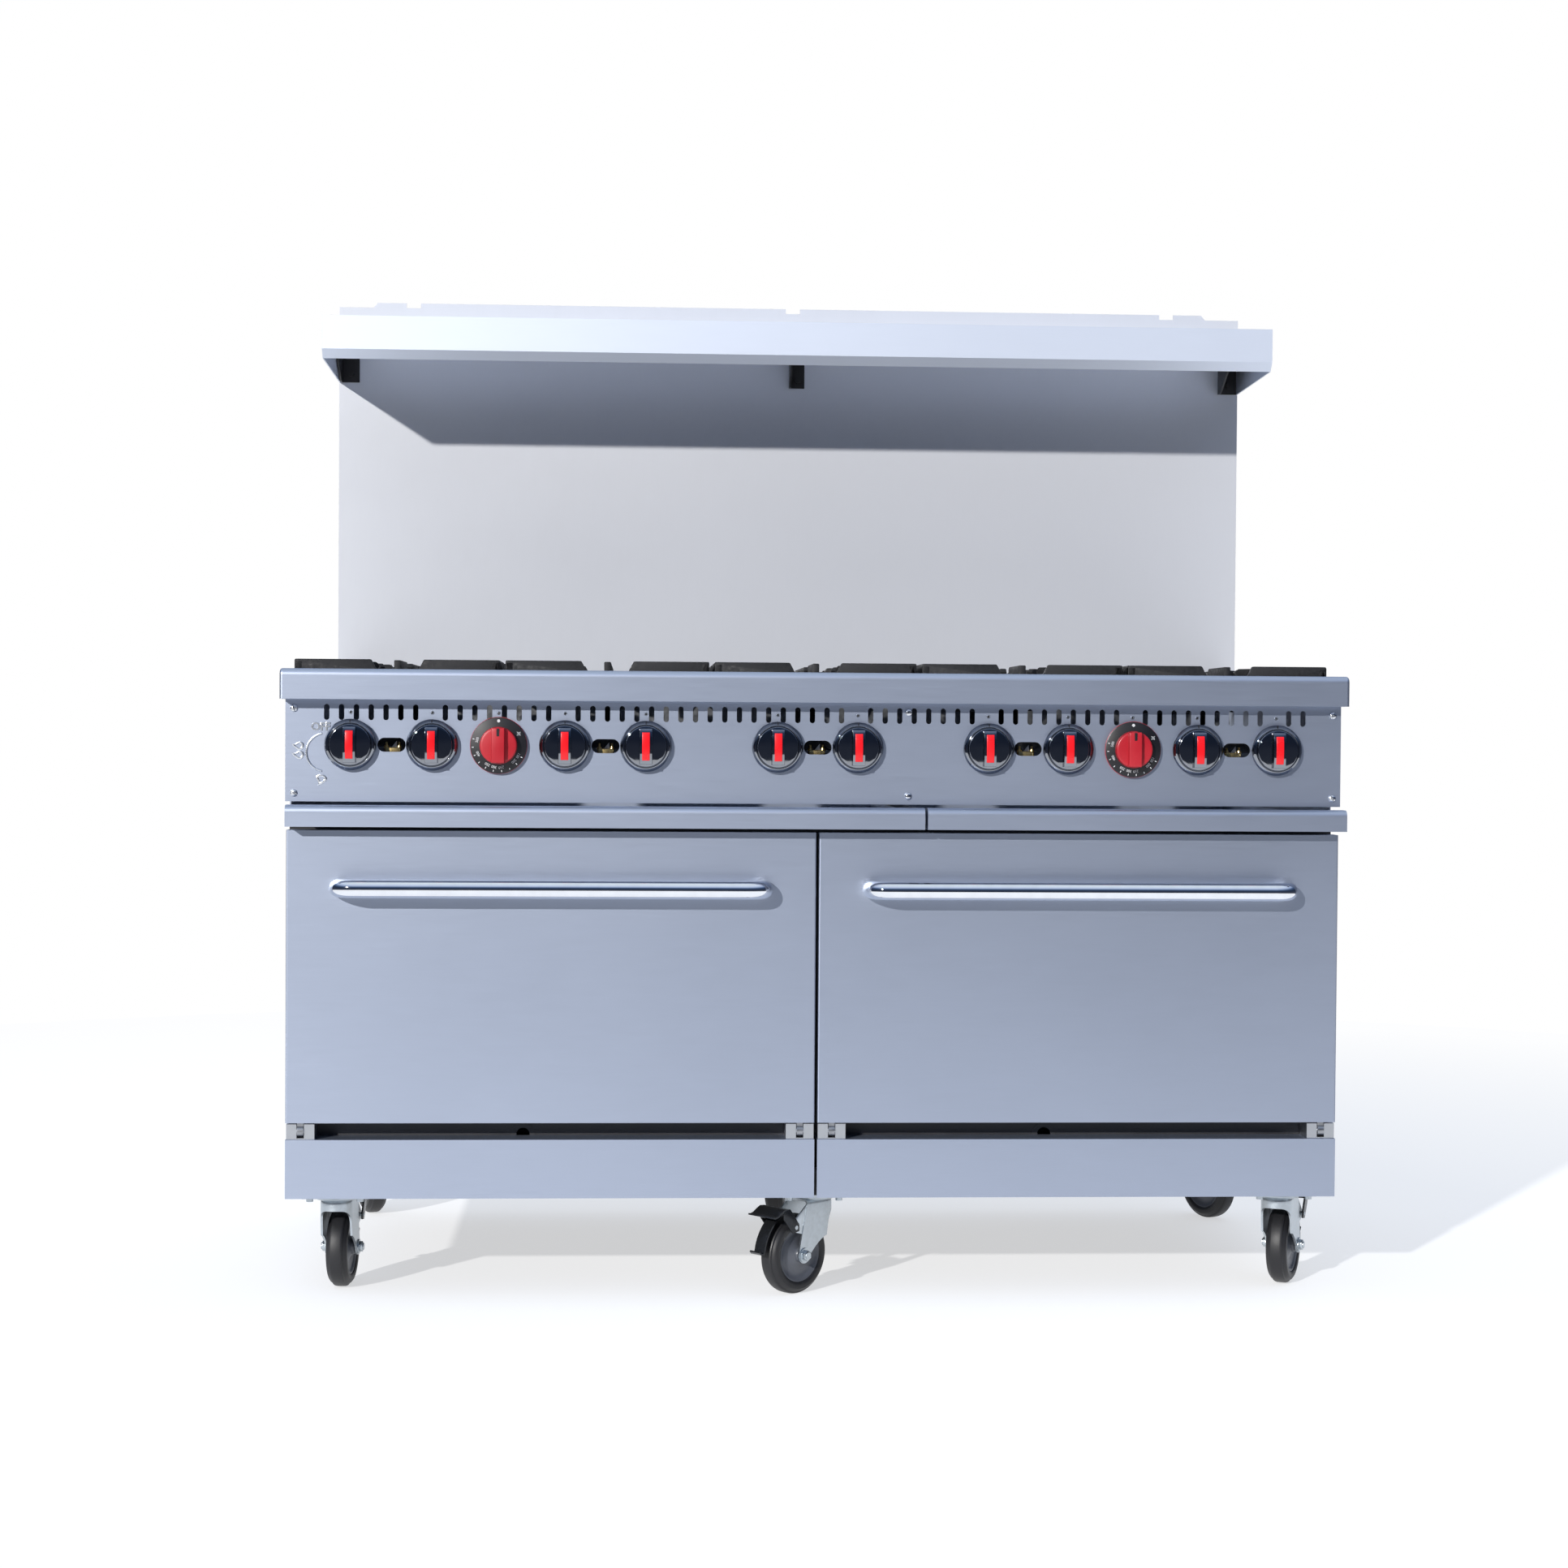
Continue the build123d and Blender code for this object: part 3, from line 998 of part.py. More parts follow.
# ---- write every node
def build():
    os.makedirs("parts", exist_ok=True)
    save("base_frame", *base_frame())
    save("side_panels", side_panel(-1), side_panel(1))
    save("rear_panel", rear_panel())
    save("front_rail", front_rail())
    save("control_panel", control_panel())
    save("panel_screws", *panel_screws())
    save("kick_plates", kick_plate(-1), kick_plate(1))
    save("front_frame", *front_frame())
    save("oven_cavities", *[oven_cavity(x) for x in OVEN_XS.values()])
    save("oven_insulation", *[oven_insulation(x) for x in OVEN_XS.values()])
    save("oven_decks", *[oven_deck(x) for x in OVEN_XS.values()])
    save("rack_and_tray_guides", *[rack_guide(x, s) for x in OVEN_XS.values() for s in (-1, 1)],
         *[ledge for x in OVEN_XS.values() for ledge in deck_ledges(x)], *tray_runners())
    save("oven_racks", *[oven_rack(x, z) for x in OVEN_XS.values() for z in RACK_LEVELS])
    save("oven_burners", *[oven_burner(x) for x in OVEN_XS.values()])
    save("top_frame", *top_frame())
    burners = [(x, d) for x in COLUMN_XS for d in BURNER_DS]
    save("burner_bodies", *[burner_body(x, d, knob_x) for (x, d), knob_x in zip(burners, KNOB_XS)])
    save("burner_heads", *[burner_head(x, d) for x, d in burners])
    save("grates", *[bar for x, d in burners for bar in grate(x, d)])
    save("gas_manifold", gas_manifold())
    save("gas_valves", *[gas_valve(x) for x in KNOB_XS], *[oven_thermostat(x) for x in DIAL_XS])
    save("backsplash", backsplash())
    save("high_shelf", high_shelf())
    end0 = HALF - SHEET - CLEAR
    end1 = end0 - END_BRACKET
    save("shelf_brackets", shelf_bracket(-end0, -end1, END_BRACKET_REACH),
         shelf_bracket(*MIDDLE_BRACKET, MIDDLE_BRACKET_REACH), shelf_bracket(end1, end0, END_BRACKET_REACH))
    brackets = [x for side in (-1, 1) for x in door_leaf_xs(side)]
    save("hinge_brackets", *[hinge_bracket(x) for x in brackets])
    save("caster_plates", *[caster_plate(spot) for spot in CASTER_SPOTS])
    for i, x in enumerate(KNOB_XS, start=1):
        save(f"burner_knob_{i}", burner_knob(x))
    for name, x in zip(("left", "right"), DIAL_XS):
        save(f"thermostat_knob_{name}", thermostat_knob(x))
    for name, side in (("left", -1), ("right", 1)):
        save(f"door_skin_{name}", door_skin(side))
        save(f"door_liner_{name}", *door_liner(side))
        save(f"door_handle_{name}", door_handle(side))
        save(f"drip_tray_{name}", drip_tray(*TRAYS[name]))
    for i, (spot, angle) in enumerate(zip(CASTER_SPOTS, CASTER_TURNS), start=1):
        fork, axle = caster_fork(spot, angle)
        if i in BRAKED:
            for ear in brake_ears(spot, angle):
                fork += ear
            save(f"caster_brake_{i}", caster_brake(spot, angle))
        save(f"caster_fork_{i}", fork, axle)
        save(f"caster_wheel_{i}", caster_wheel(spot, angle))


build()
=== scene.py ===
import json
import math

import bmesh
import bpy
from mathutils import Matrix, Vector


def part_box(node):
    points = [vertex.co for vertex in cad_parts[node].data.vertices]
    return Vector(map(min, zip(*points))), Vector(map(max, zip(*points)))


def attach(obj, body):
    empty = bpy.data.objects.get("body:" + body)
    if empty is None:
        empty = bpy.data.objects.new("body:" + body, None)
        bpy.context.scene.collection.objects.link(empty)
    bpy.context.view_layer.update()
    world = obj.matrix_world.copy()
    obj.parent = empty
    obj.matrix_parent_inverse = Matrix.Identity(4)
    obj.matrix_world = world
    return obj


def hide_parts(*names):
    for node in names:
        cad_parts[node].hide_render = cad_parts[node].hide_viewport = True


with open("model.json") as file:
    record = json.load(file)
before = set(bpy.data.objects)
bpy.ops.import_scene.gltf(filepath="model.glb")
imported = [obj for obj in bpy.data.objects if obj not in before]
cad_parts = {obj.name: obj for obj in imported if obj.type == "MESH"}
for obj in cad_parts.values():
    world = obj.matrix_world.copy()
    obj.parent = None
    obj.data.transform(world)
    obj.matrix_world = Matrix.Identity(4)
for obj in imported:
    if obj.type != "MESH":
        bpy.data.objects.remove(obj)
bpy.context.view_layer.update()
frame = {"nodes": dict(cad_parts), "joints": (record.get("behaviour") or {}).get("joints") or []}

MM = 0.001
JOINTS = {joint["name"]: joint for joint in frame["joints"]}

# ---- places taken from the frame
panel_low, panel_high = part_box("control_panel")
grates_low, grates_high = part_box("grates")
RAIL_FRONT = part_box("front_rail")[0].y
PANEL_FACE = panel_low.y

# ---- the grates' layout, in metres
GRATE_COLUMNS = 5
GRATE_PITCH = 303 * MM
GRATE_GAP = 4 * MM


# ---------------------------------------------------------------- mesh helpers
def move(bm, *, by=(0, 0, 0), turn=None, verts=None):
    """Turns, then shifts, all of a bmesh or some of its vertices."""
    verts = bm.verts[:] if verts is None else verts
    if turn is not None:
        bmesh.ops.transform(bm, matrix=turn, verts=verts)
    bmesh.ops.translate(bm, vec=Vector(by), verts=verts)


def add_block(bm, low, high, bevel=0.0, segments=2):
    """Box between two corners, with its edges rounded over."""
    low, high = Vector(low), Vector(high)
    made = bmesh.ops.create_cube(bm, size=1.0)["verts"]
    size = high - low
    bmesh.ops.scale(bm, vec=size, verts=made)
    bmesh.ops.translate(bm, vec=(low + high) / 2, verts=made)
    if bevel:
        round_edges(bm, [e for e in bm.edges if all(v in made for v in e.verts)], bevel, segments)
    return made


def round_edges(bm, edges, width, segments=2):
    """Bevels the given edges."""
    bmesh.ops.bevel(bm, geom=edges, offset=width, offset_type="OFFSET", affect="EDGES",
                    segments=segments, profile=0.5, material=-1, clamp_overlap=True)


def add_slab(bm, outline, depth, bevel=0.0, segments=2):
    """Flat outline of (x, z) points, thickened from Y = 0 to Y = depth."""
    verts = [bm.verts.new((x, 0, z)) for x, z in outline]
    face = bm.faces.new(verts)
    made = bmesh.ops.extrude_face_region(bm, geom=[face])["geom"]
    top = [g for g in made if isinstance(g, bmesh.types.BMVert)]
    bmesh.ops.translate(bm, vec=(0, depth, 0), verts=top)
    verts += top
    if bevel:
        round_edges(bm, [e for e in bm.edges if all(v in verts for v in e.verts)], bevel, segments)
    return verts


def add_turned(bm, outline, steps=64):
    """Outline of (radius, height) points, spun about the Z axis."""
    verts = [bm.verts.new((r, 0, h)) for r, h in outline]
    edges = [bm.edges.new(pair) for pair in zip(verts, verts[1:])]
    bmesh.ops.spin(bm, geom=verts + edges, cent=(0, 0, 0), axis=(0, 0, 1), dvec=(0, 0, 0),
                   angle=math.tau, steps=steps, use_merge=True)
    bmesh.ops.remove_doubles(bm, verts=bm.verts[:], dist=1e-6)


def turned_piece(outline, steps=64):
    """A new bmesh with one turned shape."""
    bm = bmesh.new()
    add_turned(bm, outline, steps)
    return bm


def merge_in(bm, other):
    """Adds another bmesh to this one and frees it."""
    mesh = bpy.data.meshes.new("merge")
    other.to_mesh(mesh)
    other.free()
    bm.from_mesh(mesh)
    bpy.data.meshes.remove(mesh)


def in_mm(points):
    """Points given in millimetres, as metres."""
    return [tuple(value * MM for value in point) for point in points]


def add_rod(bm, radius, length, at=(0, 0, 0), segments=24, tip=None):
    """Bar along Z with its middle at a point; tip is the upper radius where that differs."""
    upper = radius if tip is None else tip
    made = bmesh.ops.create_cone(bm, cap_ends=True, segments=segments, radius1=radius, radius2=upper,
                                 depth=length)["verts"]
    bmesh.ops.translate(bm, vec=at, verts=made)
    return made


def turn_about(bm, verts, axis, degrees):
    """Turns vertices about an axis through the origin."""
    matrix = Matrix.Rotation(math.radians(degrees), 3, axis)
    bmesh.ops.rotate(bm, verts=verts, cent=(0, 0, 0), matrix=matrix)


def added_since(bm, before):
    """Vertices that the bmesh didn't hold before."""
    return [v for v in bm.verts if v not in before]


FACE_FRONT = Matrix.Rotation(math.radians(90), 4, "X")     # +Z turns to -Y


def make(bm, name, body, material, replaces=(), smooth=40):
    """Turns a bmesh into a finished piece that rides on a body."""
    bmesh.ops.remove_doubles(bm, verts=bm.verts[:], dist=1e-7)
    bmesh.ops.recalc_face_normals(bm, faces=bm.faces[:])
    mesh = bpy.data.meshes.new(name)
    bm.to_mesh(mesh)
    bm.free()
    return place_mesh(mesh, name, body, material, replaces, smooth)


def place_mesh(mesh, name, body, material, replaces=(), smooth=40):
    """Makes an object of a finished mesh."""
    mesh.shade_smooth()
    mesh.set_sharp_from_angle(angle=math.radians(smooth))
    piece = bpy.data.objects.new(name, mesh)
    bpy.context.scene.collection.objects.link(piece)
    mesh.materials.clear()
    mesh.materials.append(material)
    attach(piece, body)
    if replaces:
        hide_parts(*replaces)
    return piece


def letters(text, size, depth, round_over=0.0):
    """Raised lettering as a mesh, facing the front, centred on the origin."""
    curve = bpy.data.curves.new("letters", type="FONT")
    curve.body = text
    curve.size = size
    curve.extrude = depth / 2 - round_over
    curve.offset = round_over / 2
    curve.bevel_depth = round_over
    curve.bevel_resolution = 1
    curve.align_x = "CENTER"
    curve.align_y = "CENTER"
    holder = bpy.data.objects.new("letters", curve)
    mesh = bpy.data.meshes.new_from_object(holder)
    bpy.data.objects.remove(holder)
    bpy.data.curves.remove(curve)
    mesh.transform(FACE_FRONT)
    return mesh


# ---------------------------------------------------------------- materials
def new_material(name, color, metallic=0.0, roughness=0.5):
    """Principled material; returns it with its tree and shader."""
    material = bpy.data.materials.new(name)
    material.use_nodes = True
    tree = material.node_tree
    shader = tree.nodes["Principled BSDF"]
    shader.inputs["Base Color"].default_value = (*color, 1)
    shader.inputs["Metallic"].default_value = metallic
    shader.inputs["Roughness"].default_value = roughness
    return material, tree, shader


def noise(tree, scale, stretch=(1, 1, 1), detail=3.0, rough=0.5):
    """Noise on Object coordinates; stretch holds cycles per metre along each axis."""
    coords = tree.nodes.new("ShaderNodeTexCoord")
    mapping = tree.nodes.new("ShaderNodeMapping")
    mapping.inputs["Scale"].default_value = stretch
    tree.links.new(coords.outputs["Object"], mapping.inputs["Vector"])
    texture = tree.nodes.new("ShaderNodeTexNoise")
    texture.inputs["Scale"].default_value = scale
    texture.inputs["Detail"].default_value = detail
    texture.inputs["Roughness"].default_value = rough
    tree.links.new(mapping.outputs["Vector"], texture.inputs["Vector"])
    return texture.outputs["Fac"]


def span(tree, value, low, high, from_low=0.3, from_high=0.7):
    """Maps a noise value to the range low to high."""
    node = tree.nodes.new("ShaderNodeMapRange")
    node.inputs["From Min"].default_value = from_low
    node.inputs["From Max"].default_value = from_high
    node.inputs["To Min"].default_value = low
    node.inputs["To Max"].default_value = high
    tree.links.new(value, node.inputs["Value"])
    return node.outputs["Result"]


def blend_colors(tree, value, low, high, from_low=0.3, from_high=0.7):
    """Colour ramp between two colours, driven by a noise value."""
    ramp = tree.nodes.new("ShaderNodeValToRGB")
    ramp.color_ramp.elements[0].position = from_low
    ramp.color_ramp.elements[0].color = (*low, 1)
    ramp.color_ramp.elements[1].position = from_high
    ramp.color_ramp.elements[1].color = (*high, 1)
    tree.links.new(value, ramp.inputs["Fac"])
    return ramp.outputs["Color"]


def bump(tree, shader, value, strength, distance):
    """Fine relief from a value."""
    node = tree.nodes.new("ShaderNodeBump")
    node.inputs["Strength"].default_value = strength
    node.inputs["Distance"].default_value = distance
    tree.links.new(value, node.inputs["Height"])
    tree.links.new(node.outputs["Normal"], shader.inputs["Normal"])


def mix_values(tree, a, b, weight):
    """Mixes two values."""
    node = tree.nodes.new("ShaderNodeMix")
    node.data_type = "FLOAT"
    node.inputs["Factor"].default_value = weight
    tree.links.new(a, node.inputs["A"])
    tree.links.new(b, node.inputs["B"])
    return node.outputs["Result"]


def brushed_steel(name, color, roughness=0.36, grain=(24, 2000, 2000), contrast=0.022, metallic=1.0):
    """Sheet steel brushed in one direction: long fine lines and faint hand marks."""
    material, tree, shader = new_material(name, color, metallic, roughness)
    lines = noise(tree, 1.0, grain, detail=4)
    cloud = noise(tree, 2.3, (1, 1, 1.4), detail=3)
    dark = [c * (1 - contrast) for c in color]
    light = [min(1, c * (1 + contrast)) for c in color]
    mixed = mix_values(tree, lines, cloud, 0.35)
    tree.links.new(blend_colors(tree, mixed, dark, light), shader.inputs["Base Color"])
    tree.links.new(span(tree, mixed, roughness - 0.025, roughness + 0.03), shader.inputs["Roughness"])
    bump(tree, shader, lines, 0.03, 0.0001)
    return material


def chrome(name, color, roughness=0.06):
    """Plated metal with faint wiping marks."""
    material, tree, shader = new_material(name, color, 1.0, roughness)
    marks = noise(tree, 60, detail=4)
    tree.links.new(span(tree, marks, roughness * 0.6, roughness * 1.8), shader.inputs["Roughness"])
    tree.links.new(blend_colors(tree, marks, [c * 0.94 for c in color], color), shader.inputs["Base Color"])
    return material


def cast_metal(name, color, roughness=0.62, pit=220, depth=0.0006):
    """Sand-cast iron: coarse pitted skin, darker in the pits."""
    material, tree, shader = new_material(name, color, 0.35, roughness)
    pits = noise(tree, pit, detail=6, rough=0.62)
    light = [min(1, c * 2.4) for c in color]
    tree.links.new(blend_colors(tree, pits, color, light, 0.4, 0.75), shader.inputs["Base Color"])
    tree.links.new(span(tree, pits, roughness - 0.14, roughness + 0.2), shader.inputs["Roughness"])
    bump(tree, shader, pits, 0.6, depth)
    return material


def moulded(name, color, roughness=0.3, speck=350, relief=0.0001, metallic=0.0, vary=0.12):
    """Moulded plastic or paint with a slight orange-peel skin."""
    material, tree, shader = new_material(name, color, metallic, roughness)
    peel = noise(tree, speck, detail=2)
    cloud = noise(tree, 18, detail=3)
    dark = [c * (1 - vary) for c in color]
    light = [min(1, c * (1 + vary)) for c in color]
    tree.links.new(blend_colors(tree, cloud, dark, light), shader.inputs["Base Color"])
    tree.links.new(span(tree, cloud, roughness - 0.06, roughness + 0.08), shader.inputs["Roughness"])
    bump(tree, shader, peel, 0.15, relief)
    return material


def zinc(name, color):
    """Bright zinc plating: small spangles, uneven sheen."""
    material, tree, shader = new_material(name, color, 1.0, 0.28)
    spangle = noise(tree, 140, detail=3, rough=0.5)
    tree.links.new(blend_colors(tree, spangle, [c * 0.85 for c in color], color), shader.inputs["Base Color"])
    tree.links.new(span(tree, spangle, 0.29, 0.38), shader.inputs["Roughness"])
    bump(tree, shader, spangle, 0.03, 0.0001)
    return material


def mineral_wool(name, color):
    """Matted fibre batt."""
    material, tree, shader = new_material(name, color, 0.0, 0.95)
    fibres = noise(tree, 1, (60, 900, 900), detail=6, rough=0.7)
    tree.links.new(blend_colors(tree, fibres, [c * 0.55 for c in color], color), shader.inputs["Base Color"])
    bump(tree, shader, fibres, 0.8, 0.003)
    return material


# Door and front stainless: base colour set darker and bluer than bare stainless, painted shade and painted
# sky reflection over the steel's own grey.
steel = brushed_steel("brushed stainless with painted sky tint", (0.425, 0.475, 0.585), roughness=0.44)
# Backsplash stainless: a lighter, half-diffuse copy of the same stainless, painted sunlit brightness.
riser_steel_painted_lit = brushed_steel("riser stainless, painted sunlit", (0.88, 0.90, 0.95), roughness=0.30, metallic=0.45,
                           grain=(1600, 1600, 24), contrast=0.008)
# Shelf stainless: a lighter, bluer copy of the same stainless, painted sunlight and painted sky reflection.
shelf_steel_painted_lit = brushed_steel("shelf stainless, painted sunlit", (0.74, 0.80, 0.92), roughness=0.46, metallic=0.5,
                             contrast=0.01)
# Embossed marks: a lighter copy of the panel's stainless, painted highlight on the raised strokes.
emboss_steel_painted_highlight = brushed_steel("embossed stainless, painted highlight", (0.74, 0.77, 0.82), roughness=0.3, contrast=0.02)
screw_bright = chrome("screw plating", (0.75, 0.77, 0.80), 0.22)
steel_fitting = brushed_steel("plain stainless", (0.55, 0.57, 0.60), roughness=0.3, grain=(40, 400, 40))
aluminised = zinc("aluminised steel", (0.36, 0.37, 0.39))
black_paint = moulded("black heat paint", (0.018, 0.018, 0.021), roughness=0.5)
enamel = moulded("oven enamel", (0.045, 0.047, 0.06), roughness=0.18, vary=0.3)
wool = mineral_wool("mineral wool", (0.72, 0.66, 0.42))
rack_chrome = chrome("rack plating", (0.62, 0.62, 0.64), 0.15)
handle_chrome = chrome("handle plating", (0.86, 0.88, 0.92), 0.05)
# Knob chrome: base colour set dark, painted reflection of dark surroundings on the chrome.
knob_chrome_painted_reflection = chrome("knob plating, painted dark reflection", (0.30, 0.315, 0.345), 0.05)
red_insert = moulded("red insert", (0.78, 0.010, 0.016), roughness=0.25, vary=0.06)
red_knob = moulded("red knob", (0.42, 0.012, 0.022), roughness=0.38, vary=0.08)
dial_black = moulded("dial black", (0.007, 0.007, 0.010), roughness=0.42)
dial_mark = moulded("dial print", (0.62, 0.64, 0.66), roughness=0.5, vary=0.04)
cast_iron = cast_metal("cast iron", (0.012, 0.012, 0.013))
pipe_black = cast_metal("black pipe", (0.02, 0.02, 0.021), roughness=0.5, pit=90)
brass = brushed_steel("valve brass", (0.78, 0.58, 0.25), roughness=0.28, grain=(300, 300, 300), contrast=0.15)
zinc_plate = zinc("zinc plate", (0.56, 0.61, 0.65))
tyre_rubber = moulded("tyre rubber", (0.009, 0.009, 0.011), roughness=0.48, speck=260, relief=0.0004)
hub_grey = moulded("hub grey", (0.085, 0.092, 0.11), roughness=0.33)
brake_black = moulded("brake plating", (0.03, 0.032, 0.036), roughness=0.22, metallic=0.7)

CAD_FINISH = {
    "front_rail": steel, "control_panel": steel, "kick_plates": steel, "side_panels": steel,
    "drip_tray_left": steel, "drip_tray_right": steel, "door_skin_left": steel, "door_skin_right": steel,
    "high_shelf": shelf_steel_painted_lit, "backsplash": riser_steel_painted_lit, "hinge_brackets": steel_fitting,
    "panel_screws": steel_fitting, "rear_panel": aluminised, "rack_and_tray_guides": aluminised,
    "door_liner_left": aluminised, "door_liner_right": aluminised, "front_frame": black_paint,
    "base_frame": black_paint, "shelf_brackets": black_paint, "top_frame": black_paint,
    "oven_cavities": enamel, "oven_decks": enamel, "oven_insulation": wool, "oven_racks": rack_chrome,
    "door_handle_left": handle_chrome, "door_handle_right": handle_chrome, "grates": cast_iron,
    "burner_heads": cast_iron, "burner_bodies": cast_iron, "oven_burners": cast_iron,
    "gas_manifold": pipe_black, "gas_valves": brass, "caster_plates": zinc_plate,
}


def finish_cad_nodes():
    """Gives every carried-over CAD node its finish."""
    for name, node in frame["nodes"].items():
        material = CAD_FINISH.get(name)
        if material is None:
            material = next(m for start, m in (("caster_fork", zinc_plate), ("caster_wheel", tyre_rubber),
                                               ("caster_brake", brake_black), ("burner_knob", knob_chrome_painted_reflection),
                                               ("thermostat_knob", red_knob)) if name.startswith(start))
        node.data.materials.clear()
        node.data.materials.append(material)


# ---------------------------------------------------------------- knobs and dials
def knob_centre(joint_name):
    """Centre of a knob on its turning axis, at the panel's face."""
    x, _, z = JOINTS[joint_name]["pos_m"]
    return Vector((x, PANEL_FACE, z))


def bow(bm, verts, rise, half):
    """Raises vertices in a bow along Y: highest at the middle, unchanged at half away."""
    for vert in verts:
        vert.co.z += rise * (1 - (vert.co.y / half) ** 2)


def grip_bar(bm, width, length, z_low, z_high, rise, taper, bevel):
    """Bar along Y with a bowed and slightly narrower crest."""
    before = set(bm.verts)
    low, high = (-width / 2, -length / 2, z_low), (width / 2, length / 2, z_high)
    block = add_block(bm, low, high)
    bmesh.ops.scale(bm, vec=(taper, 0.97, 1), verts=[v for v in block if v.co.z > (z_low + z_high) / 2])
    long_edges = [e for e in bm.edges if all(v in block for v in e.verts)
                  and abs(e.verts[0].co.y - e.verts[1].co.y) > length / 2]
    bmesh.ops.subdivide_edges(bm, edges=long_edges, cuts=9, use_grid_fill=True)
    made = added_since(bm, before)
    bow(bm, [v for v in made if v.co.z > (z_low + z_high) / 2], rise, length / 2)
    edges = [e for e in bm.edges if all(v in made for v in e.verts) and e.calc_face_angle(0) > 0.6]
    round_edges(bm, edges, bevel, 3)


# Outlines are (radius, height) in millimetres; heights count from the panel's face.
KNOB_RING = ((0, 4), (35.5, 4), (36.5, 5), (36.5, 7), (35.9, 7.9), (32, 12.0), (31.2, 12.4), (30.4, 12.2),
             (29.9, 11.4), (29.3, 11.4), (29, 14.4), (28.6, 15.0))
KNOB_DISC_R = 29.0 * MM
DISC_Z = 15.0 * MM
DISC_RISE = 2.4 * MM
KNOB_GRIP = {"width": 20 * MM, "length": 51.5 * MM, "z_low": 14 * MM, "z_high": 24.5 * MM, "rise": 3.6 * MM,
             "taper": 0.86, "bevel": 1.2 * MM}
KNOB_INSERT = {"width": 11.2 * MM, "length": 41 * MM, "z_low": 22 * MM, "z_high": 26.3 * MM,
               "rise": 2.7 * MM, "taper": 0.97, "bevel": 0.6 * MM}
KNOB_NOTCH = ((-0.6, 31.0, 8), (0.6, 35.6, 12.3))
STEM_R = 4 * MM
KNOB_STEM_LENGTH = 36 * MM
KNOB_STEM_MIDDLE = -12 * MM
FINE_EDGE = 0.2 * MM
ROUND_STEPS = 96


def burner_knob(index):
    """Chrome skirt with a bevelled ring, a domed mirror disc and a bowed grip with a red insert."""
    centre = knob_centre(f"burner_knob_{index}_turn")
    body = f"knob_{index}"
    dome = [(KNOB_DISC_R * math.sin(a), DISC_Z + DISC_RISE * (1 - math.sin(a) ** 2))
            for a in (math.radians(t) for t in range(75, -1, -15))]
    bm = turned_piece(in_mm(KNOB_RING) + dome, ROUND_STEPS)
    grip_bar(bm, **KNOB_GRIP)
    add_rod(bm, STEM_R, KNOB_STEM_LENGTH, (0, 0, KNOB_STEM_MIDDLE))
    move(bm, turn=FACE_FRONT, by=centre)
    make(bm, f"knob_chrome_painted_reflection_{index}", body, knob_chrome_painted_reflection, [f"burner_knob_{index}"], 28)
    bm = bmesh.new()
    grip_bar(bm, **KNOB_INSERT)
    move(bm, turn=FACE_FRONT, by=centre)
    make(bm, f"knob_insert_{index}", body, red_insert, smooth=45)
    bm = bmesh.new()
    add_block(bm, *in_mm(KNOB_NOTCH), FINE_EDGE, 1)
    move(bm, turn=FACE_FRONT, by=centre)
    make(bm, f"knob_notch_{index}", body, dial_black)


TICKS = 10
FIRST_TICK = -27.0
TICK_STEP = -18.6
DIAL_RIM = ((0, 3), (39.5, 3), (40.5, 3.6), (40.5, 4.6), (39.6, 5.2), (0, 5.2))
DIAL_FACE = ((0, 5.2), (39.9, 5.2), (40.1, 5.5), (39.7, 7.0), (39.0, 7.4), (0, 7.4))
DIAL_KNOB = ((0, 7.4), (26.75, 7.4), (26.2, 17.5), (25.2, 18.8), (22, 19.4), (0, 19.6))
DIAL_GRIP = {"width": 20.6 * MM, "length": 50.5 * MM, "z_low": 17 * MM, "z_high": 26.8 * MM,
             "rise": 1.4 * MM, "taper": 0.86, "bevel": 1.2 * MM}
DIAL_POINTER = ((-1.9, 13, 26.6), (1.9, 24, 28.2))
DIAL_STEM_LENGTH = 34 * MM
DIAL_STEM_MIDDLE = -10 * MM
DIAL_TOP = 7.4 * MM
PRINT_DEPTH = 0.15 * MM
TICK_ENDS = (35.2 * MM, 37.8 * MM)
TICK_HALF = 0.55 * MM
DOT_R = 2.2 * MM
DOT_REACH = 35 * MM
SPARK_RAYS = 8
SPARK_LONG = 3.6 * MM
SPARK_SHORT = 2.4 * MM
SPARK_HALF = 0.3 * MM
SPARK_PLACE = (28.5 * MM, 17 * MM, 0)
NUMBER_SIZE = 5.2 * MM
NUMBER_REACH = 31 * MM
DIAL_NUMBERS = {0: "150", 1: "200", 3: "250", 4: "300", 5: "350", 7: "400", 9: "500"}


def dial_spot(centre, radius, degrees, height):
    """Point on a dial's face."""
    a = math.radians(degrees)
    return centre + Vector((radius * math.cos(a), -height, radius * math.sin(a)))


def thermostat(side):
    """Black numbered dial with a red knob, a grip bar and a pointer mark."""
    centre = knob_centre(f"thermostat_{side}_turn")
    body = f"thermostat_{side}"
    bm = turned_piece(in_mm(DIAL_RIM), ROUND_STEPS)
    move(bm, turn=FACE_FRONT, by=centre)
    make(bm, f"dial_rim_{side}", body, red_knob)
    bm = turned_piece(in_mm(DIAL_FACE), ROUND_STEPS)
    move(bm, turn=FACE_FRONT, by=centre)
    make(bm, f"dial_face_{side}", body, dial_black)
    bm = turned_piece(in_mm(DIAL_KNOB), 80)
    grip_bar(bm, **DIAL_GRIP)
    add_rod(bm, STEM_R, DIAL_STEM_LENGTH, (0, 0, DIAL_STEM_MIDDLE))
    move(bm, turn=FACE_FRONT, by=centre)
    make(bm, f"dial_knob_{side}", body, red_knob, [f"thermostat_knob_{side}"], 30)
    bm = bmesh.new()
    add_block(bm, *in_mm(DIAL_POINTER), FINE_EDGE, 1)
    move(bm, turn=FACE_FRONT, by=centre)
    make(bm, f"dial_pointer_{side}", body, dial_black)
    dial_print(side, centre, body)


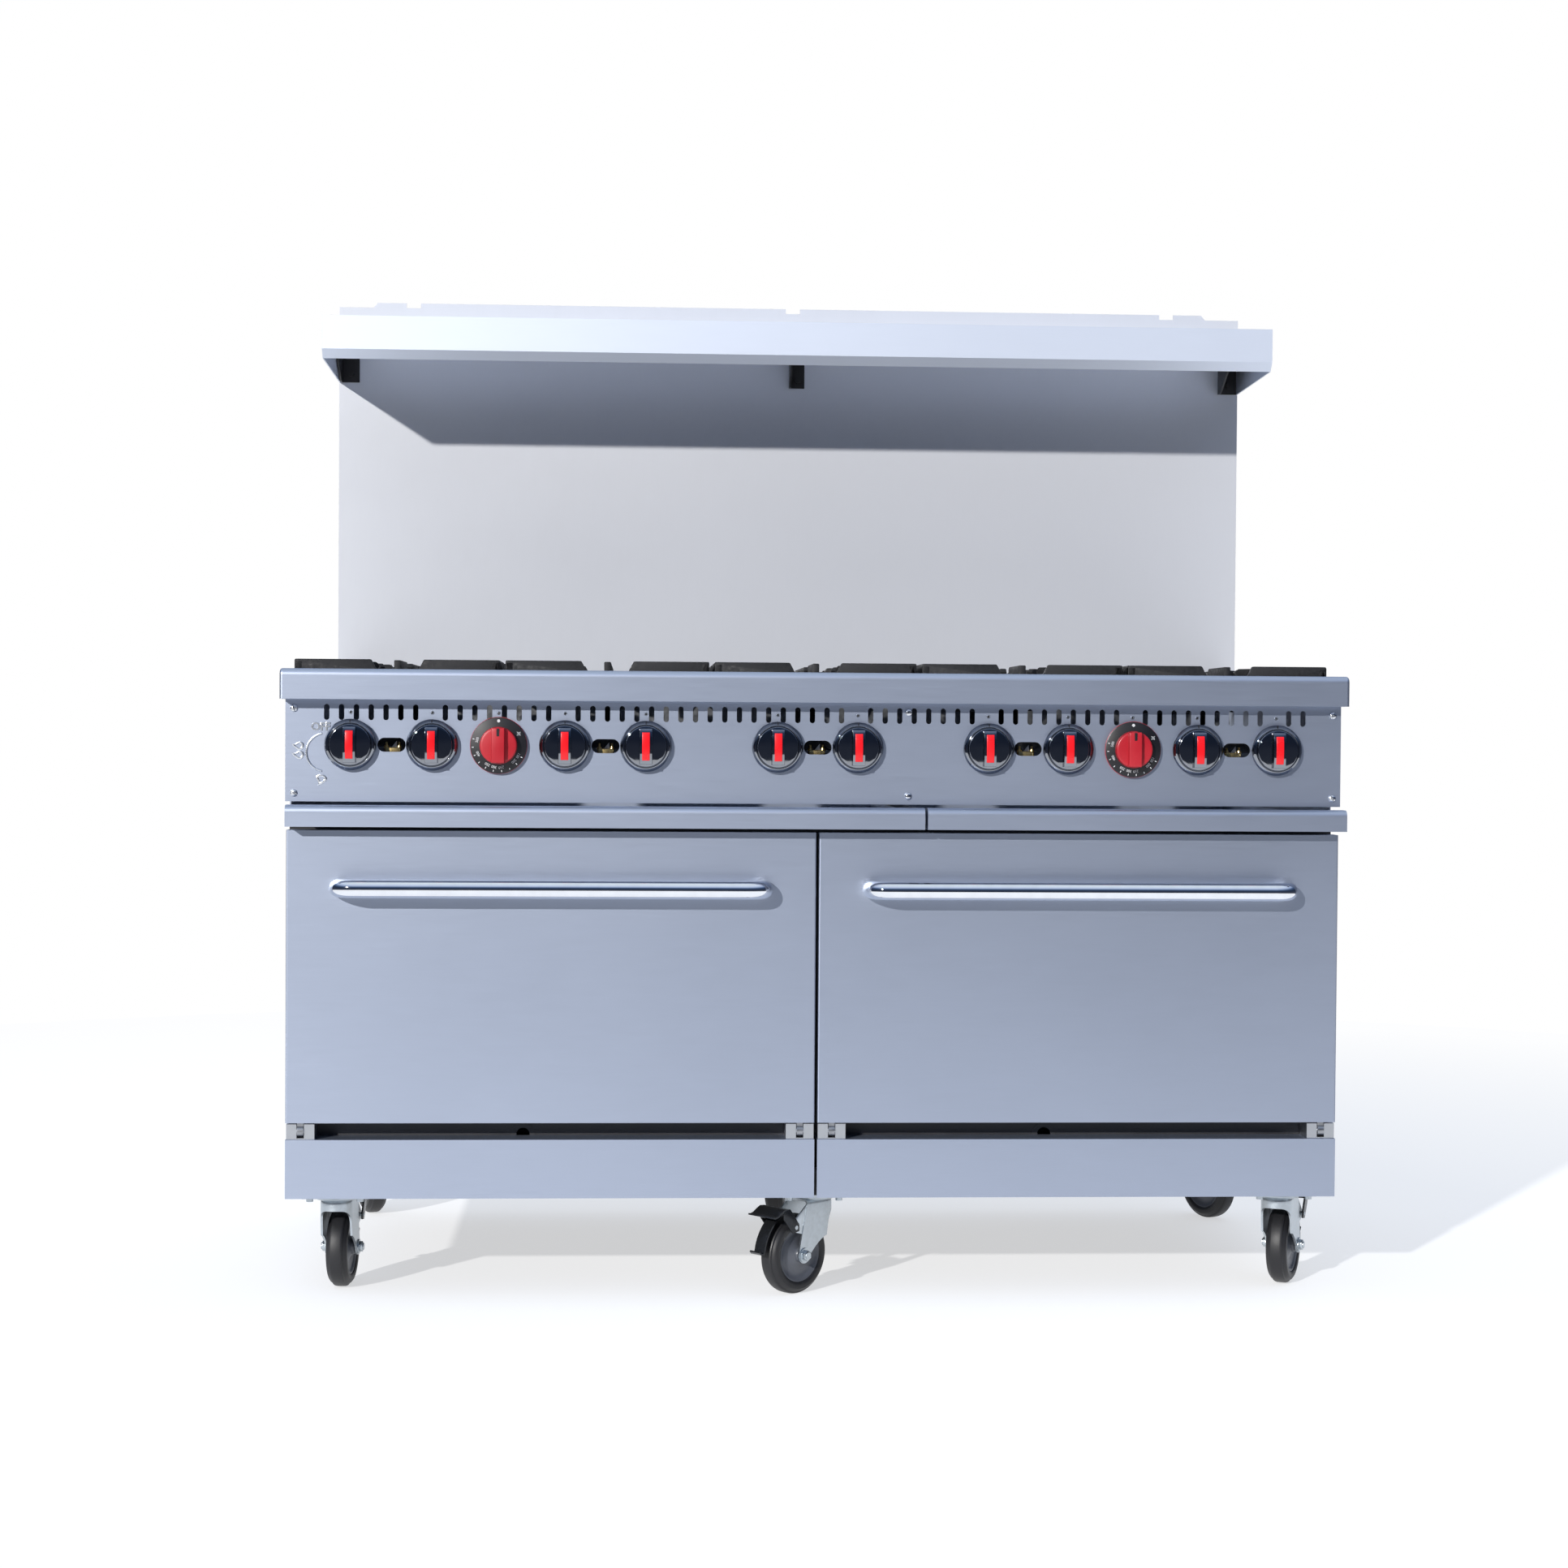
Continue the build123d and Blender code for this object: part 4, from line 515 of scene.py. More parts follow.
def dial_print(side, centre, body):
    """Ticks, a dot, a spark and plain numbers round the dial."""
    top = DIAL_TOP + PRINT_DEPTH
    bm = bmesh.new()
    for i in range(TICKS):
        tick = add_block(bm, (TICK_ENDS[0], -TICK_HALF, DIAL_TOP), (TICK_ENDS[1], TICK_HALF, top))
        turn_about(bm, tick, "Z", FIRST_TICK + i * TICK_STEP)
    add_rod(bm, DOT_R, 2 * PRINT_DEPTH, (0, DOT_REACH, DIAL_TOP + 0.1 * MM))
    for k in range(SPARK_RAYS):
        length = SPARK_LONG if k % 2 else SPARK_SHORT
        ray = add_block(bm, (0, -SPARK_HALF, DIAL_TOP), (length, SPARK_HALF, top))
        turn_about(bm, ray, "Z", k * 360 / SPARK_RAYS)
        bmesh.ops.translate(bm, vec=SPARK_PLACE, verts=ray)
    move(bm, turn=FACE_FRONT, by=centre)
    make(bm, f"dial_ticks_{side}", body, dial_mark)
    for i, text in DIAL_NUMBERS.items():
        degrees = FIRST_TICK + i * TICK_STEP
        mesh = letters(text, NUMBER_SIZE, PRINT_DEPTH)
        mesh.transform(Matrix.Rotation(-math.radians(degrees - 90), 4, "Y"))
        spot = dial_spot(centre, NUMBER_REACH, degrees, DIAL_TOP)
        mesh.transform(Matrix.Translation(spot))
        place_mesh(mesh, f"dial_number_{side}_{i}", body, dial_mark)


# ---------------------------------------------------------------- embossed marks beside the first knob
MARK_LIFT = 0.9 * MM
OFF_SIZE = 15.5 * MM
OFF_PLACE = Vector((-42.2 * MM, 0, 24.9 * MM))      # places count from the first knob's centre
ARC_PLACE = Vector((-35.4 * MM, 0, -11.1 * MM))
ARC_R = 27.1 * MM
ARC_WIRE_R = 1.7 * MM
ARC_START = 101.3
ARC_SWEEP = 157.4
# Root x and z, length and width in millimetres, then the tip's turn from upright.
FLAMES = ((-65.5, -1.9, 17.7, 12.6, -90), (-65.5, -14.9, 17.7, 12.6, -90), (-40, -42.2, 17, 15.3, 190))
FLAME_OUTLINE = ((0.0, 0.0), (0.22, 0.06), (0.36, 0.24), (0.34, 0.45), (0.2, 0.64), (0.13, 0.82),
                 (0.16, 1.0), (-0.04, 0.88), (-0.2, 0.68), (-0.36, 0.46), (-0.36, 0.24), (-0.2, 0.06))
FLAME_WALL = 0.45             # inner loop against the outer one
FLAME_WIDTH = 0.72            # of the outline, at unit height


def flame(bm, x, z, length, width, turn):
    """A flame in raised outline, its root at (x, z) and its tip turned from upright."""
    middle = Vector((0, 0, 0.42))
    loops = []
    profile = ((1, 0.3 * MM), (1, -0.6 * MARK_LIFT), (0.88, -MARK_LIFT), (FLAME_WALL + 0.1, -MARK_LIFT),
               (FLAME_WALL, 0.3 * MM))
    for share, y in profile:
        loop = []
        for a, b in FLAME_OUTLINE:
            spot = middle + (Vector((a, 0, b)) - middle) * share
            loop.append(bm.verts.new((spot.x * width / FLAME_WIDTH, y, spot.z * length)))
        loops.append(loop)
    for near, far in zip(loops, loops[1:] + loops[:1]):
        for k in range(len(near)):
            bm.faces.new((near[k - 1], near[k], far[k], far[k - 1]))
    made = [v for loop in loops for v in loop]
    turn_about(bm, made, "Y", turn)
    bmesh.ops.translate(bm, vec=(x, 0, z), verts=made)


def embossed_marks():
    """OFF, the turning arc, the large double flame and the small flame."""
    centre = knob_centre("burner_knob_1_turn")
    mesh = letters("OFF", OFF_SIZE, 2 * MARK_LIFT, 0.5 * MM)
    mesh.transform(Matrix.Translation(centre + OFF_PLACE))
    place_mesh(mesh, "mark_off", "cabinet", emboss_steel_painted_highlight, smooth=50)
    bm = bmesh.new()
    ring = bmesh.ops.create_circle(bm, cap_ends=False, segments=12, radius=ARC_WIRE_R)["verts"]
    turn_about(bm, ring, "X", 90)
    bmesh.ops.translate(bm, vec=(ARC_R, 0, 0), verts=ring)
    turn_about(bm, ring, "Z", ARC_START)
    bmesh.ops.spin(bm, geom=bm.verts[:] + bm.edges[:], cent=(0, 0, 0), axis=(0, 0, 1),
                   angle=math.radians(ARC_SWEEP), steps=36, dvec=(0, 0, 0), use_merge=False)
    bmesh.ops.holes_fill(bm, edges=[e for e in bm.edges if e.is_boundary], sides=12)
    move(bm, turn=FACE_FRONT, by=centre + ARC_PLACE)
    make(bm, "mark_arc", "cabinet", emboss_steel_painted_highlight)
    bm = bmesh.new()
    for x, z, length, width, turn in FLAMES:
        flame(bm, x * MM, z * MM, length * MM, width * MM, turn)
    move(bm, by=centre + Vector((0, -0.05 * MM, 0)))
    make(bm, "mark_flames", "cabinet", emboss_steel_painted_highlight, smooth=60)


# ---------------------------------------------------------------- screws and pilot valves
def dome_halves(bm, radius, height, slot_width):
    """Round screw head, split by its driver slot."""
    for side in (-1, 1):
        part = turned_piece([(0, 0), (radius, 0), (radius, height * 0.3), (radius * 0.86, height * 0.7),
                             (radius * 0.55, height * 0.94), (0, height)], 32)
        bmesh.ops.bisect_plane(part, geom=part.verts[:] + part.edges[:] + part.faces[:],
                               plane_co=(side * slot_width / 2, 0, 0), plane_no=(side, 0, 0),
                               clear_inner=True)
        bmesh.ops.holes_fill(part, edges=[e for e in part.edges if e.is_boundary], sides=0)
        merge_in(bm, part)


def screw_head(name, place, radius, height, turn, material, replaces=()):
    """One slotted screw head with its sunk floor, facing the front."""
    bm = bmesh.new()
    dome_halves(bm, radius, height, radius * 0.26)
    add_rod(bm, radius * 0.96, height * 0.3, (0, 0, height * 0.1), 32)
    turn_about(bm, bm.verts[:], "Z", turn)
    move(bm, turn=FACE_FRONT, by=place)
    make(bm, name, "cabinet", material, replaces, 35)


SCREW_R = 5.2 * MM
SCREW_HEIGHT = 3.2 * MM
SCREW_INSET = 12 * MM
SCREW_TOP_INSET = 13 * MM
SEAM_INSET = 22 * MM            # middle screws, from the left tray's end
SCREW_TURNS = (62, 20, 75, 100, 30, 145)
PILOT_SCREW_DROP = 18 * MM
PILOT_CUP = ((1.1, -2), (1.1, 0.2), (1.5, 0.7), (2.1, 0.7), (2.5, 0.2), (2.6, -1), (3.6, -0.6), (3.7, 0.0),
             (2.8, -3), (1.1, -3), (1.1, -2))


def panel_screws():
    """Six slotted screws on the panel's edges and a small socket screw above every knob."""
    half = (panel_high.x - panel_low.x) / 2
    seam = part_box("drip_tray_left")[1].x - SEAM_INSET
    spots = [(x, z) for x in (-half + SCREW_INSET, seam, half - SCREW_INSET)
             for z in (panel_low.z + SCREW_INSET, panel_high.z - SCREW_TOP_INSET)]
    for number, ((x, z), turn) in enumerate(zip(spots, SCREW_TURNS), start=1):
        screw_head(f"panel_screw_{number}", Vector((x, PANEL_FACE, z)), SCREW_R, SCREW_HEIGHT, turn,
                   screw_bright, ["panel_screws"] if number == 1 else ())
    for joint in frame["joints"]:
        if joint["child"].startswith(("knob", "thermostat")):
            x, z = joint["pos_m"][0], panel_high.z - PILOT_SCREW_DROP
            bm = turned_piece(in_mm(PILOT_CUP), 28)
            move(bm, turn=FACE_FRONT, by=(x, PANEL_FACE - 0.1 * MM, z))
            make(bm, f"pilot_screw_{joint['child']}", "cabinet", steel_fitting, smooth=50)


TEE_BODY = ((-12, -5, -3), (12, 7, 12.5))
TEE_SPACING = 9                                     # outlets, each side of the middle, in millimetres
TEE_OUTLETS = ((3.8, 11, 15), (2.1, 14, 20))        # radius, bottom and top
BRACKET = ((-7, 7), (6, 7), (5, 22))


def pilot_valves():
    """Brass pilot tees on the manifold, seen through the panel's windows."""
    manifold_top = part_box("gas_manifold")[1].z - 4 * MM
    base = Vector((0, PANEL_FACE + 24 * MM, manifold_top))
    for column in range(GRATE_COLUMNS):
        left = knob_centre(f"burner_knob_{2 * column + 1}_turn")
        right = knob_centre(f"burner_knob_{2 * column + 2}_turn")
        x = (left.x + right.x) / 2
        bm = bmesh.new()
        add_block(bm, *in_mm(TEE_BODY), 2 * MM, 3)
        for side in (-1, 1):
            for radius, low, high in TEE_OUTLETS:
                at = (side * TEE_SPACING * MM, 0, (low + high) / 2 * MM)
                add_rod(bm, radius * MM, (high - low) * MM, at, 12, radius * 0.8 * MM)
        move(bm, by=base + Vector((x, 0, 0)))
        make(bm, f"pilot_tee_{column + 1}", "cabinet", brass)
        bm = bmesh.new()
        add_slab(bm, in_mm(BRACKET), 1.2 * MM, 0.3 * MM, 1)
        move(bm, by=base + Vector((x, 3 * MM, 0)))
        make(bm, f"pilot_bracket_{column + 1}", "cabinet", steel_fitting)


RING_OUTLINE = ((9.6, 0), (17, 0), (17, 0.8), (9.6, 0.8), (9.6, 0))
RING_LEFT = 42 * MM             # from the door's middle
RING_RISE = 1 * MM              # above the kick plates


def lighting_rings():
    """Black plates with a round hole, over the square holes in the front frame."""
    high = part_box("kick_plates")[1]
    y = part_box("front_frame")[0].y
    for side, name in ((-1, "left"), (1, "right")):
        x = JOINTS[f"door_{name}_hinge"]["pos_m"][0] - RING_LEFT
        bm = bmesh.new()
        add_turned(bm, in_mm(RING_OUTLINE), 48)
        move(bm, turn=FACE_FRONT, by=(x, y, high.z + RING_RISE))
        make(bm, f"lighting_ring_{name}", "cabinet", black_paint)


# ---------------------------------------------------------------- grates
CAST_EDGE = 1.6 * MM
RING_HEIGHT = 25 * MM           # of an edge bar's low middle
DIP_HALF = 38 * MM
EDGE_WIDTH = 12 * MM
FINGER_THICK = 10 * MM
SHORT_FINGER_END = 44 * MM      # from the grate's middle
LONG_FINGER_END = 58 * MM


def edge_bar(bm, half, z_low, z_ring, z_top, dip, width):
    """A grate's edge bar along X: raised at both ends, lower in the middle."""
    slope = 8 * MM
    outline = [(-half, z_low), (-half, z_top - 2 * MM), (-half + 3 * MM, z_top), (-dip, z_top),
               (-dip + slope, z_ring), (dip - slope, z_ring), (dip, z_top), (half - 3 * MM, z_top),
               (half, z_top - 2 * MM), (half, z_low)]
    add_slab(bm, outline, width, CAST_EDGE, 2)


def grate(column, line):
    """One cast grate with its fingers."""
    depth = (grates_high.y - grates_low.y - GRATE_GAP) / 2
    half_x = GRATE_PITCH / 2 - GRATE_GAP
    half_y = depth / 2
    x = (column - (GRATE_COLUMNS - 1) / 2) * GRATE_PITCH
    y = grates_low.y + half_y + line * (depth + GRATE_GAP)
    z0, top = grates_low.z, grates_high.z
    ring = z0 + RING_HEIGHT
    bm = bmesh.new()
    sides = ((0, half_x, half_y), (90, half_y, half_x), (180, half_x, half_y), (270, half_y, half_x))
    for turn, half, reach in sides:
        before = set(bm.verts)
        edge_bar(bm, half, z0, ring, top, DIP_HALF, EDGE_WIDTH)
        made = added_since(bm, before)
        bmesh.ops.translate(bm, vec=(0, -reach, 0), verts=made)
        turn_about(bm, made, "Z", turn)
    corner = math.degrees(math.atan2(half_y, half_x))
    reach = math.hypot(half_x, half_y) - 14 * MM
    fingers = [(turn, half - 2 * MM, SHORT_FINGER_END) for turn, half, _ in sides]
    fingers += [(turn, reach, LONG_FINGER_END) for turn in (corner, 180 - corner, 180 + corner, -corner)]
    for angle, far, near in fingers:
        before = set(bm.verts)
        outline = [(far, z0 + 4 * MM), (far, top - 1 * MM), (near + 6 * MM, top - 1 * MM),
                   (near, top - 6 * MM), (near + 12 * MM, z0 + 12 * MM), (near + 40 * MM, z0 + 4 * MM)]
        add_slab(bm, outline, FINGER_THICK, CAST_EDGE, 2)
        made = added_since(bm, before)
        bmesh.ops.translate(bm, vec=(0, -FINGER_THICK / 2, 0), verts=made)
        turn_about(bm, made, "Z", angle)
    move(bm, by=(x, y, 0))
    name = f"grate_{column + 1}_{'front' if line == 0 else 'rear'}"
    make(bm, name, "cabinet", cast_iron, ["grates"] if column + line == 0 else (), 35)


# ---------------------------------------------------------------- casters
def caster_place(index):
    """Matrix from a caster's own frame (trail along +X) to the row frame."""
    swivel = Vector(JOINTS[f"caster_{index}_swivel"]["pos_m"])
    axle = Vector(JOINTS[f"caster_{index}_roll"]["pos_m"])
    trail = axle - swivel
    angle = math.atan2(trail.y, trail.x)
    place = Matrix.Translation((swivel.x, swivel.y, 0)) @ Matrix.Rotation(angle, 4, "Z")
    return place, math.hypot(trail.x, trail.y), axle.z


ALONG_Y = Matrix.Rotation(math.radians(-90), 4, "X")     # +Z turns to +Y
FORK_HALF = 23.0 * MM       # wheel's middle plane to the outside of a leg
FORK_SHEET = 3.0 * MM
FORK_TOP = 137.0 * MM
FORK_NOSE = -30.0 * MM      # front of the fork's apron, in its own frame
FORK_ARCH = 17.0 * MM       # height of the apron over the tyre
LEG_END_R = 12.0 * MM
WHEEL_R = 57.5 * MM


def fork_low(x, trail, axle_z):
    """Lower edge of the fork's wall at a place along the trail: arched apron, swept leg, round end."""
    arch = FORK_TOP - FORK_ARCH
    bend = FORK_NOSE + FORK_HALF
    shoulder = axle_z + 24 * MM
    if x <= bend:
        share = (x - FORK_NOSE) / (bend - FORK_NOSE)
        return arch - (arch - shoulder) * (1 - math.sqrt(max(0.0, 1 - share ** 2)))
    start = trail - LEG_END_R
    if x < start:
        share = (x - bend) / (start - bend)
        return shoulder + (axle_z - shoulder) * share ** 1.5
    off = min(1.0, abs(x - trail) / LEG_END_R)
    return axle_z - LEG_END_R * math.sqrt(1 - off ** 2)


def fork_path(trail):
    """Plan points of the fork's wall: along one leg, round the apron and back along the other leg."""
    bend = FORK_NOSE + FORK_HALF
    ends = [trail + LEG_END_R * math.sin(math.radians(a)) for a in range(90, -91, -15)]
    leg = [(x, -FORK_HALF) for x in ends]
    leg += [(bend + (ends[-1] - bend) * t / 6, -FORK_HALF) for t in range(5, 0, -1)]
    arc = [(bend - FORK_HALF * math.sin(a), -FORK_HALF * math.cos(a))
           for a in (math.radians(t) for t in range(0, 181, 9))]
    return leg + arc + [(x, -y) for x, y in reversed(leg)]


# Inward shift and drop, in millimetres.
FORK_SHOULDER = ((6.0, 0.0), (3.2, 0.6), (1.2, 2.2), (0.2, 4.6), (0.0, 7.5))
FORK_TOP_REACH = 34 * MM
RACE = ((0, 0), (27, 0), (30.5, 0.8), (33, 2.8), (33, 4.4), (31, 5.2), (0, 5.2))


def caster_fork(index):
    """Pressed fork: round shoulder, arched apron and two swept legs, with the race and the axle bolt."""
    place, trail, axle_z = caster_place(index)
    bm = bmesh.new()
    rows = []
    reach = trail + LEG_END_R
    for x, y in fork_path(trail):
        low = fork_low(x, trail, axle_z)
        top_x = x if x < 0 else x * FORK_TOP_REACH / reach
        inward = Vector((-min(top_x, 0), -y, 0)).normalized()
        column = [Vector((top_x, y, FORK_TOP - drop)) + inward * shift
                  for shift, drop in in_mm(FORK_SHOULDER)]
        start = column[-1].z
        for share in (0.2, 0.4, 0.6, 0.8, 1.0):
            z = start + (low - start) * share
            column.append(Vector((top_x + (x - top_x) * share, y, z)))
        rows.append([bm.verts.new(p) for p in column])
    for a, b in zip(rows, rows[1:]):
        for i in range(len(a) - 1):
            bm.faces.new((a[i], b[i], b[i + 1], a[i + 1]))
    bm.faces.new([row[0] for row in rows])
    bmesh.ops.recalc_face_normals(bm, faces=bm.faces[:])
    bmesh.ops.solidify(bm, geom=bm.faces[:], thickness=FORK_SHEET)
    race = turned_piece(in_mm(RACE), 56)
    bmesh.ops.translate(race, vec=(0, 0, FORK_TOP - 3.0 * MM), verts=race.verts[:])
    merge_in(bm, race)
    bm.transform(place)
    body = f"fork_{index}"
    make(bm, f"fork_{index}", body, zinc_plate, [f"caster_fork_{index}"], 40)
    axle_bolt(index, place, trail, axle_z)


def axle_bolt(index, place, trail, axle_z):
    """Hexagon bolt, nut and washers through the fork's legs."""
    bm = bmesh.new()
    half = FORK_HALF + 0.2 * MM
    parts = [(5 * MM, 2 * half + 16 * MM, 0.0, 24)]
    for side in (-1, 1):
        parts.append((10.5 * MM, 1.6 * MM, side * (half + 0.8 * MM), 32))
        parts.append((7.8 * MM, 5 * MM, side * (half + 4.0 * MM), 6))
    for radius, depth, at, segments in parts:
        made = add_rod(bm, radius, depth, (0, 0, at), segments)
        if segments == 6:
            round_edges(bm, [e for e in bm.edges if all(v in made for v in e.verts)], 0.6 * MM, 2)
    bm.transform(place @ Matrix.Translation((trail, 0, axle_z)) @ ALONG_Y)
    make(bm, f"axle_bolt_{index}", f"fork_{index}", zinc_plate, smooth=32)


TYRE_SHOULDER = ((56.9, 8.0), (56.2, 9.2), (54.4, 9.8), (53.8, 10.4), (52.6, 13.0), (49.6, 15.2), (45, 15.5),
                 (41, 14.4), (39.6, 13.2), (39.2, 11))
TREAD = ((57.5, 0), (57.4, 6))
HUB = ((5.05, 18.6), (10.2, 18.6), (11, 17.8), (11.6, 14), (14.5, 11.8), (22, 9.4), (30, 9.2), (36, 11.2),
       (38.8, 13.2), (39.8, 13.2), (39.8, 11))


def caster_wheel(index):
    """Rubber tyre with a stepped shoulder and a flat tread on a dished grey hub."""
    place, trail, axle_z = caster_place(index)
    to_wheel = place @ Matrix.Translation((trail, 0, axle_z)) @ ALONG_Y
    far_half = [(r, -h) for r, h in reversed(TREAD[1:] + TYRE_SHOULDER)]
    tyre = far_half + list(TREAD + TYRE_SHOULDER) + far_half[:1]
    bm = turned_piece(in_mm(tyre), 80)
    bm.transform(to_wheel)
    body = f"wheel_{index}"
    make(bm, f"tyre_{index}", body, tyre_rubber, [f"caster_wheel_{index}"], 32)
    hub = list(HUB) + [(r, -h) for r, h in reversed(HUB)] + [HUB[0]]
    bm = turned_piece(in_mm(hub), 80)
    bm.transform(to_wheel)
    make(bm, f"hub_{index}", body, hub_grey, smooth=40)


def curled_tab(bm, points, half_width, thick):
    """Pedal tab: a strip that follows (x, z) points, thickened."""
    before = set(bm.verts)
    sides = [[bm.verts.new((x, y, z)) for x, z in points] for y in (-half_width, half_width)]
    for a, b, c, d in zip(sides[0], sides[0][1:], sides[1][1:], sides[1]):
        bm.faces.new((a, b, c, d))
    made = added_since(bm, before)
    faces = [f for f in bm.faces if all(v in made for v in f.verts)]
    bmesh.ops.recalc_face_normals(bm, faces=faces)
    bmesh.ops.solidify(bm, geom=faces, thickness=thick)


PEDAL_CHEEK = ((-7, -6), (6, -8), (13, 0), (24, 14), (24, 22), (20, 27), (12, 28), (7, 22), (-2, 10),
               (-7, 4))
PEDAL_TAB = ((8, 23), (14, 28), (22, 28.6), (29, 25), (36, 20.6), (42, 19), (45, 20))
PEDAL_SHEET = 2.4 * MM
PEDAL_GAP = 1.0 * MM            # between the fork and a cheek
GUARD_GAP = 10.5 * MM           # between the tyre and the lower tab
GUARD_HALF = 10 * MM
EAR = ((-30, 33), (6, 4), (5, -6), (-24, -14))


def caster_brake(index):
    """Rocking pedal: two cheeks beside the fork, a curled upper tab and a short lower tab."""
    pivot = Vector(JOINTS[f"caster_{index}_brake"]["pos_m"])
    place, trail, axle_z = caster_place(index)
    local = place.inverted() @ pivot
    inner = FORK_HALF + PEDAL_GAP
    outer = inner + PEDAL_SHEET
    bm = bmesh.new()
    for side in (-1, 1):
        before = set(bm.verts)
        add_slab(bm, in_mm(PEDAL_CHEEK), outer - inner, 0.7 * MM, 2)
        made = added_since(bm, before)
        bmesh.ops.translate(bm, vec=(0, inner if side > 0 else -outer, 0), verts=made)
    guard_r = (WHEEL_R + GUARD_GAP) / MM
    axle_x, axle_off = (trail - local.x) / MM, (axle_z - local.z) / MM
    guard = [(axle_x + guard_r * math.cos(a), axle_off + guard_r * math.sin(a))
             for a in (math.radians(t) for t in range(64, 7, -8))]
    guard += [(guard[-1][0] + 3, guard[-1][1] - 3), (guard[-1][0] + 9, guard[-1][1] - 1.5),
              (guard[-1][0] + 12, guard[-1][1] + 2)]
    for points, half_width in ((PEDAL_TAB, outer - 0.4 * MM), (guard, GUARD_HALF)):
        curled_tab(bm, in_mm(points), half_width, PEDAL_SHEET)
    move(bm, by=local)
    bm.transform(place)
    make(bm, f"brake_pedal_{index}", f"brake_{index}", brake_black, [f"caster_brake_{index}"], 45)
    bm = bmesh.new()
    for side in (-1, 1):
        before = set(bm.verts)
        add_slab(bm, in_mm(EAR), PEDAL_SHEET, 0.5 * MM, 2)
        pin = add_rod(bm, 3 * MM, 9 * MM, segments=20)
        turn_about(bm, pin, "X", 90)
        bmesh.ops.translate(bm, vec=(0, 3 * MM, 0), verts=pin)
        made = added_since(bm, before)
        bmesh.ops.translate(bm, vec=(0, FORK_HALF - 3.2 * MM, 0), verts=made)
        if side < 0:
            bmesh.ops.scale(bm, vec=(1, -1, 1), verts=made)
    move(bm, by=local)
    bm.transform(place)
    make(bm, f"brake_ears_{index}", f"fork_{index}", zinc_plate, smooth=40)


# ---------------------------------------------------------------- rear and sides
REAR_SCREW_R = 5 * MM
REAR_SCREW_TOP_R = 3.4 * MM
PANEL_ROWS = (0.2, 0.36, 0.52, 0.68, 0.83)          # heights of the side screws
RISER_ROWS = (0.93, 1.13, 1.33, 1.5)
THIRDS = (-2, -1, 0, 1, 2)


def rear_fixings():
    """Rows of round-headed screws round the rear panel and the back riser."""
    low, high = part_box("rear_panel")
    splash_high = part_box("backsplash")[1]
    half = -low.x - 12 * MM
    spots = [(x, high.y, z) for x in (-half, half) for z in PANEL_ROWS]
    spots += [(x / 3 * half, high.y, low.z + 12 * MM) for x in THIRDS]
    edge = splash_high.x - 14 * MM
    spots += [(x, splash_high.y, z) for x in (-edge, edge) for z in RISER_ROWS]
    spots += [(x / 3 * edge, splash_high.y, splash_high.z - 26 * MM) for x in THIRDS]
    bm = bmesh.new()
    for x, y, z in spots:
        made = add_rod(bm, REAR_SCREW_R, 2 * MM, segments=16, tip=REAR_SCREW_TOP_R)
        turn_about(bm, made, "X", -90)
        bmesh.ops.translate(bm, vec=(x, y + 0.6 * MM, z), verts=made)
    make(bm, "rear_screws", "cabinet", steel_fitting)


# ---------------------------------------------------------------- stage, light and camera
FLOOR_R = 3.8
FLOOR_GREY = (0.5, 0.5, 0.5)
SUN_STRENGTH = 3.6
SUN_TRAVEL = Vector((165, 253, -115))
SKY_STRENGTH = 0.9
SKY = ((0.0, (0.08, 0.09, 0.11)), (0.5, (0.05, 0.06, 0.09)), (0.55, (0.03, 0.04, 0.07)),
       (0.62, (0.025, 0.04, 0.075)), (0.72, (0.08, 0.13, 0.25)), (0.80, (0.40, 0.50, 0.72)),
       (0.90, (0.72, 0.82, 1.0)), (1.0, (0.85, 0.94, 1.0)))     # from straight down to straight up


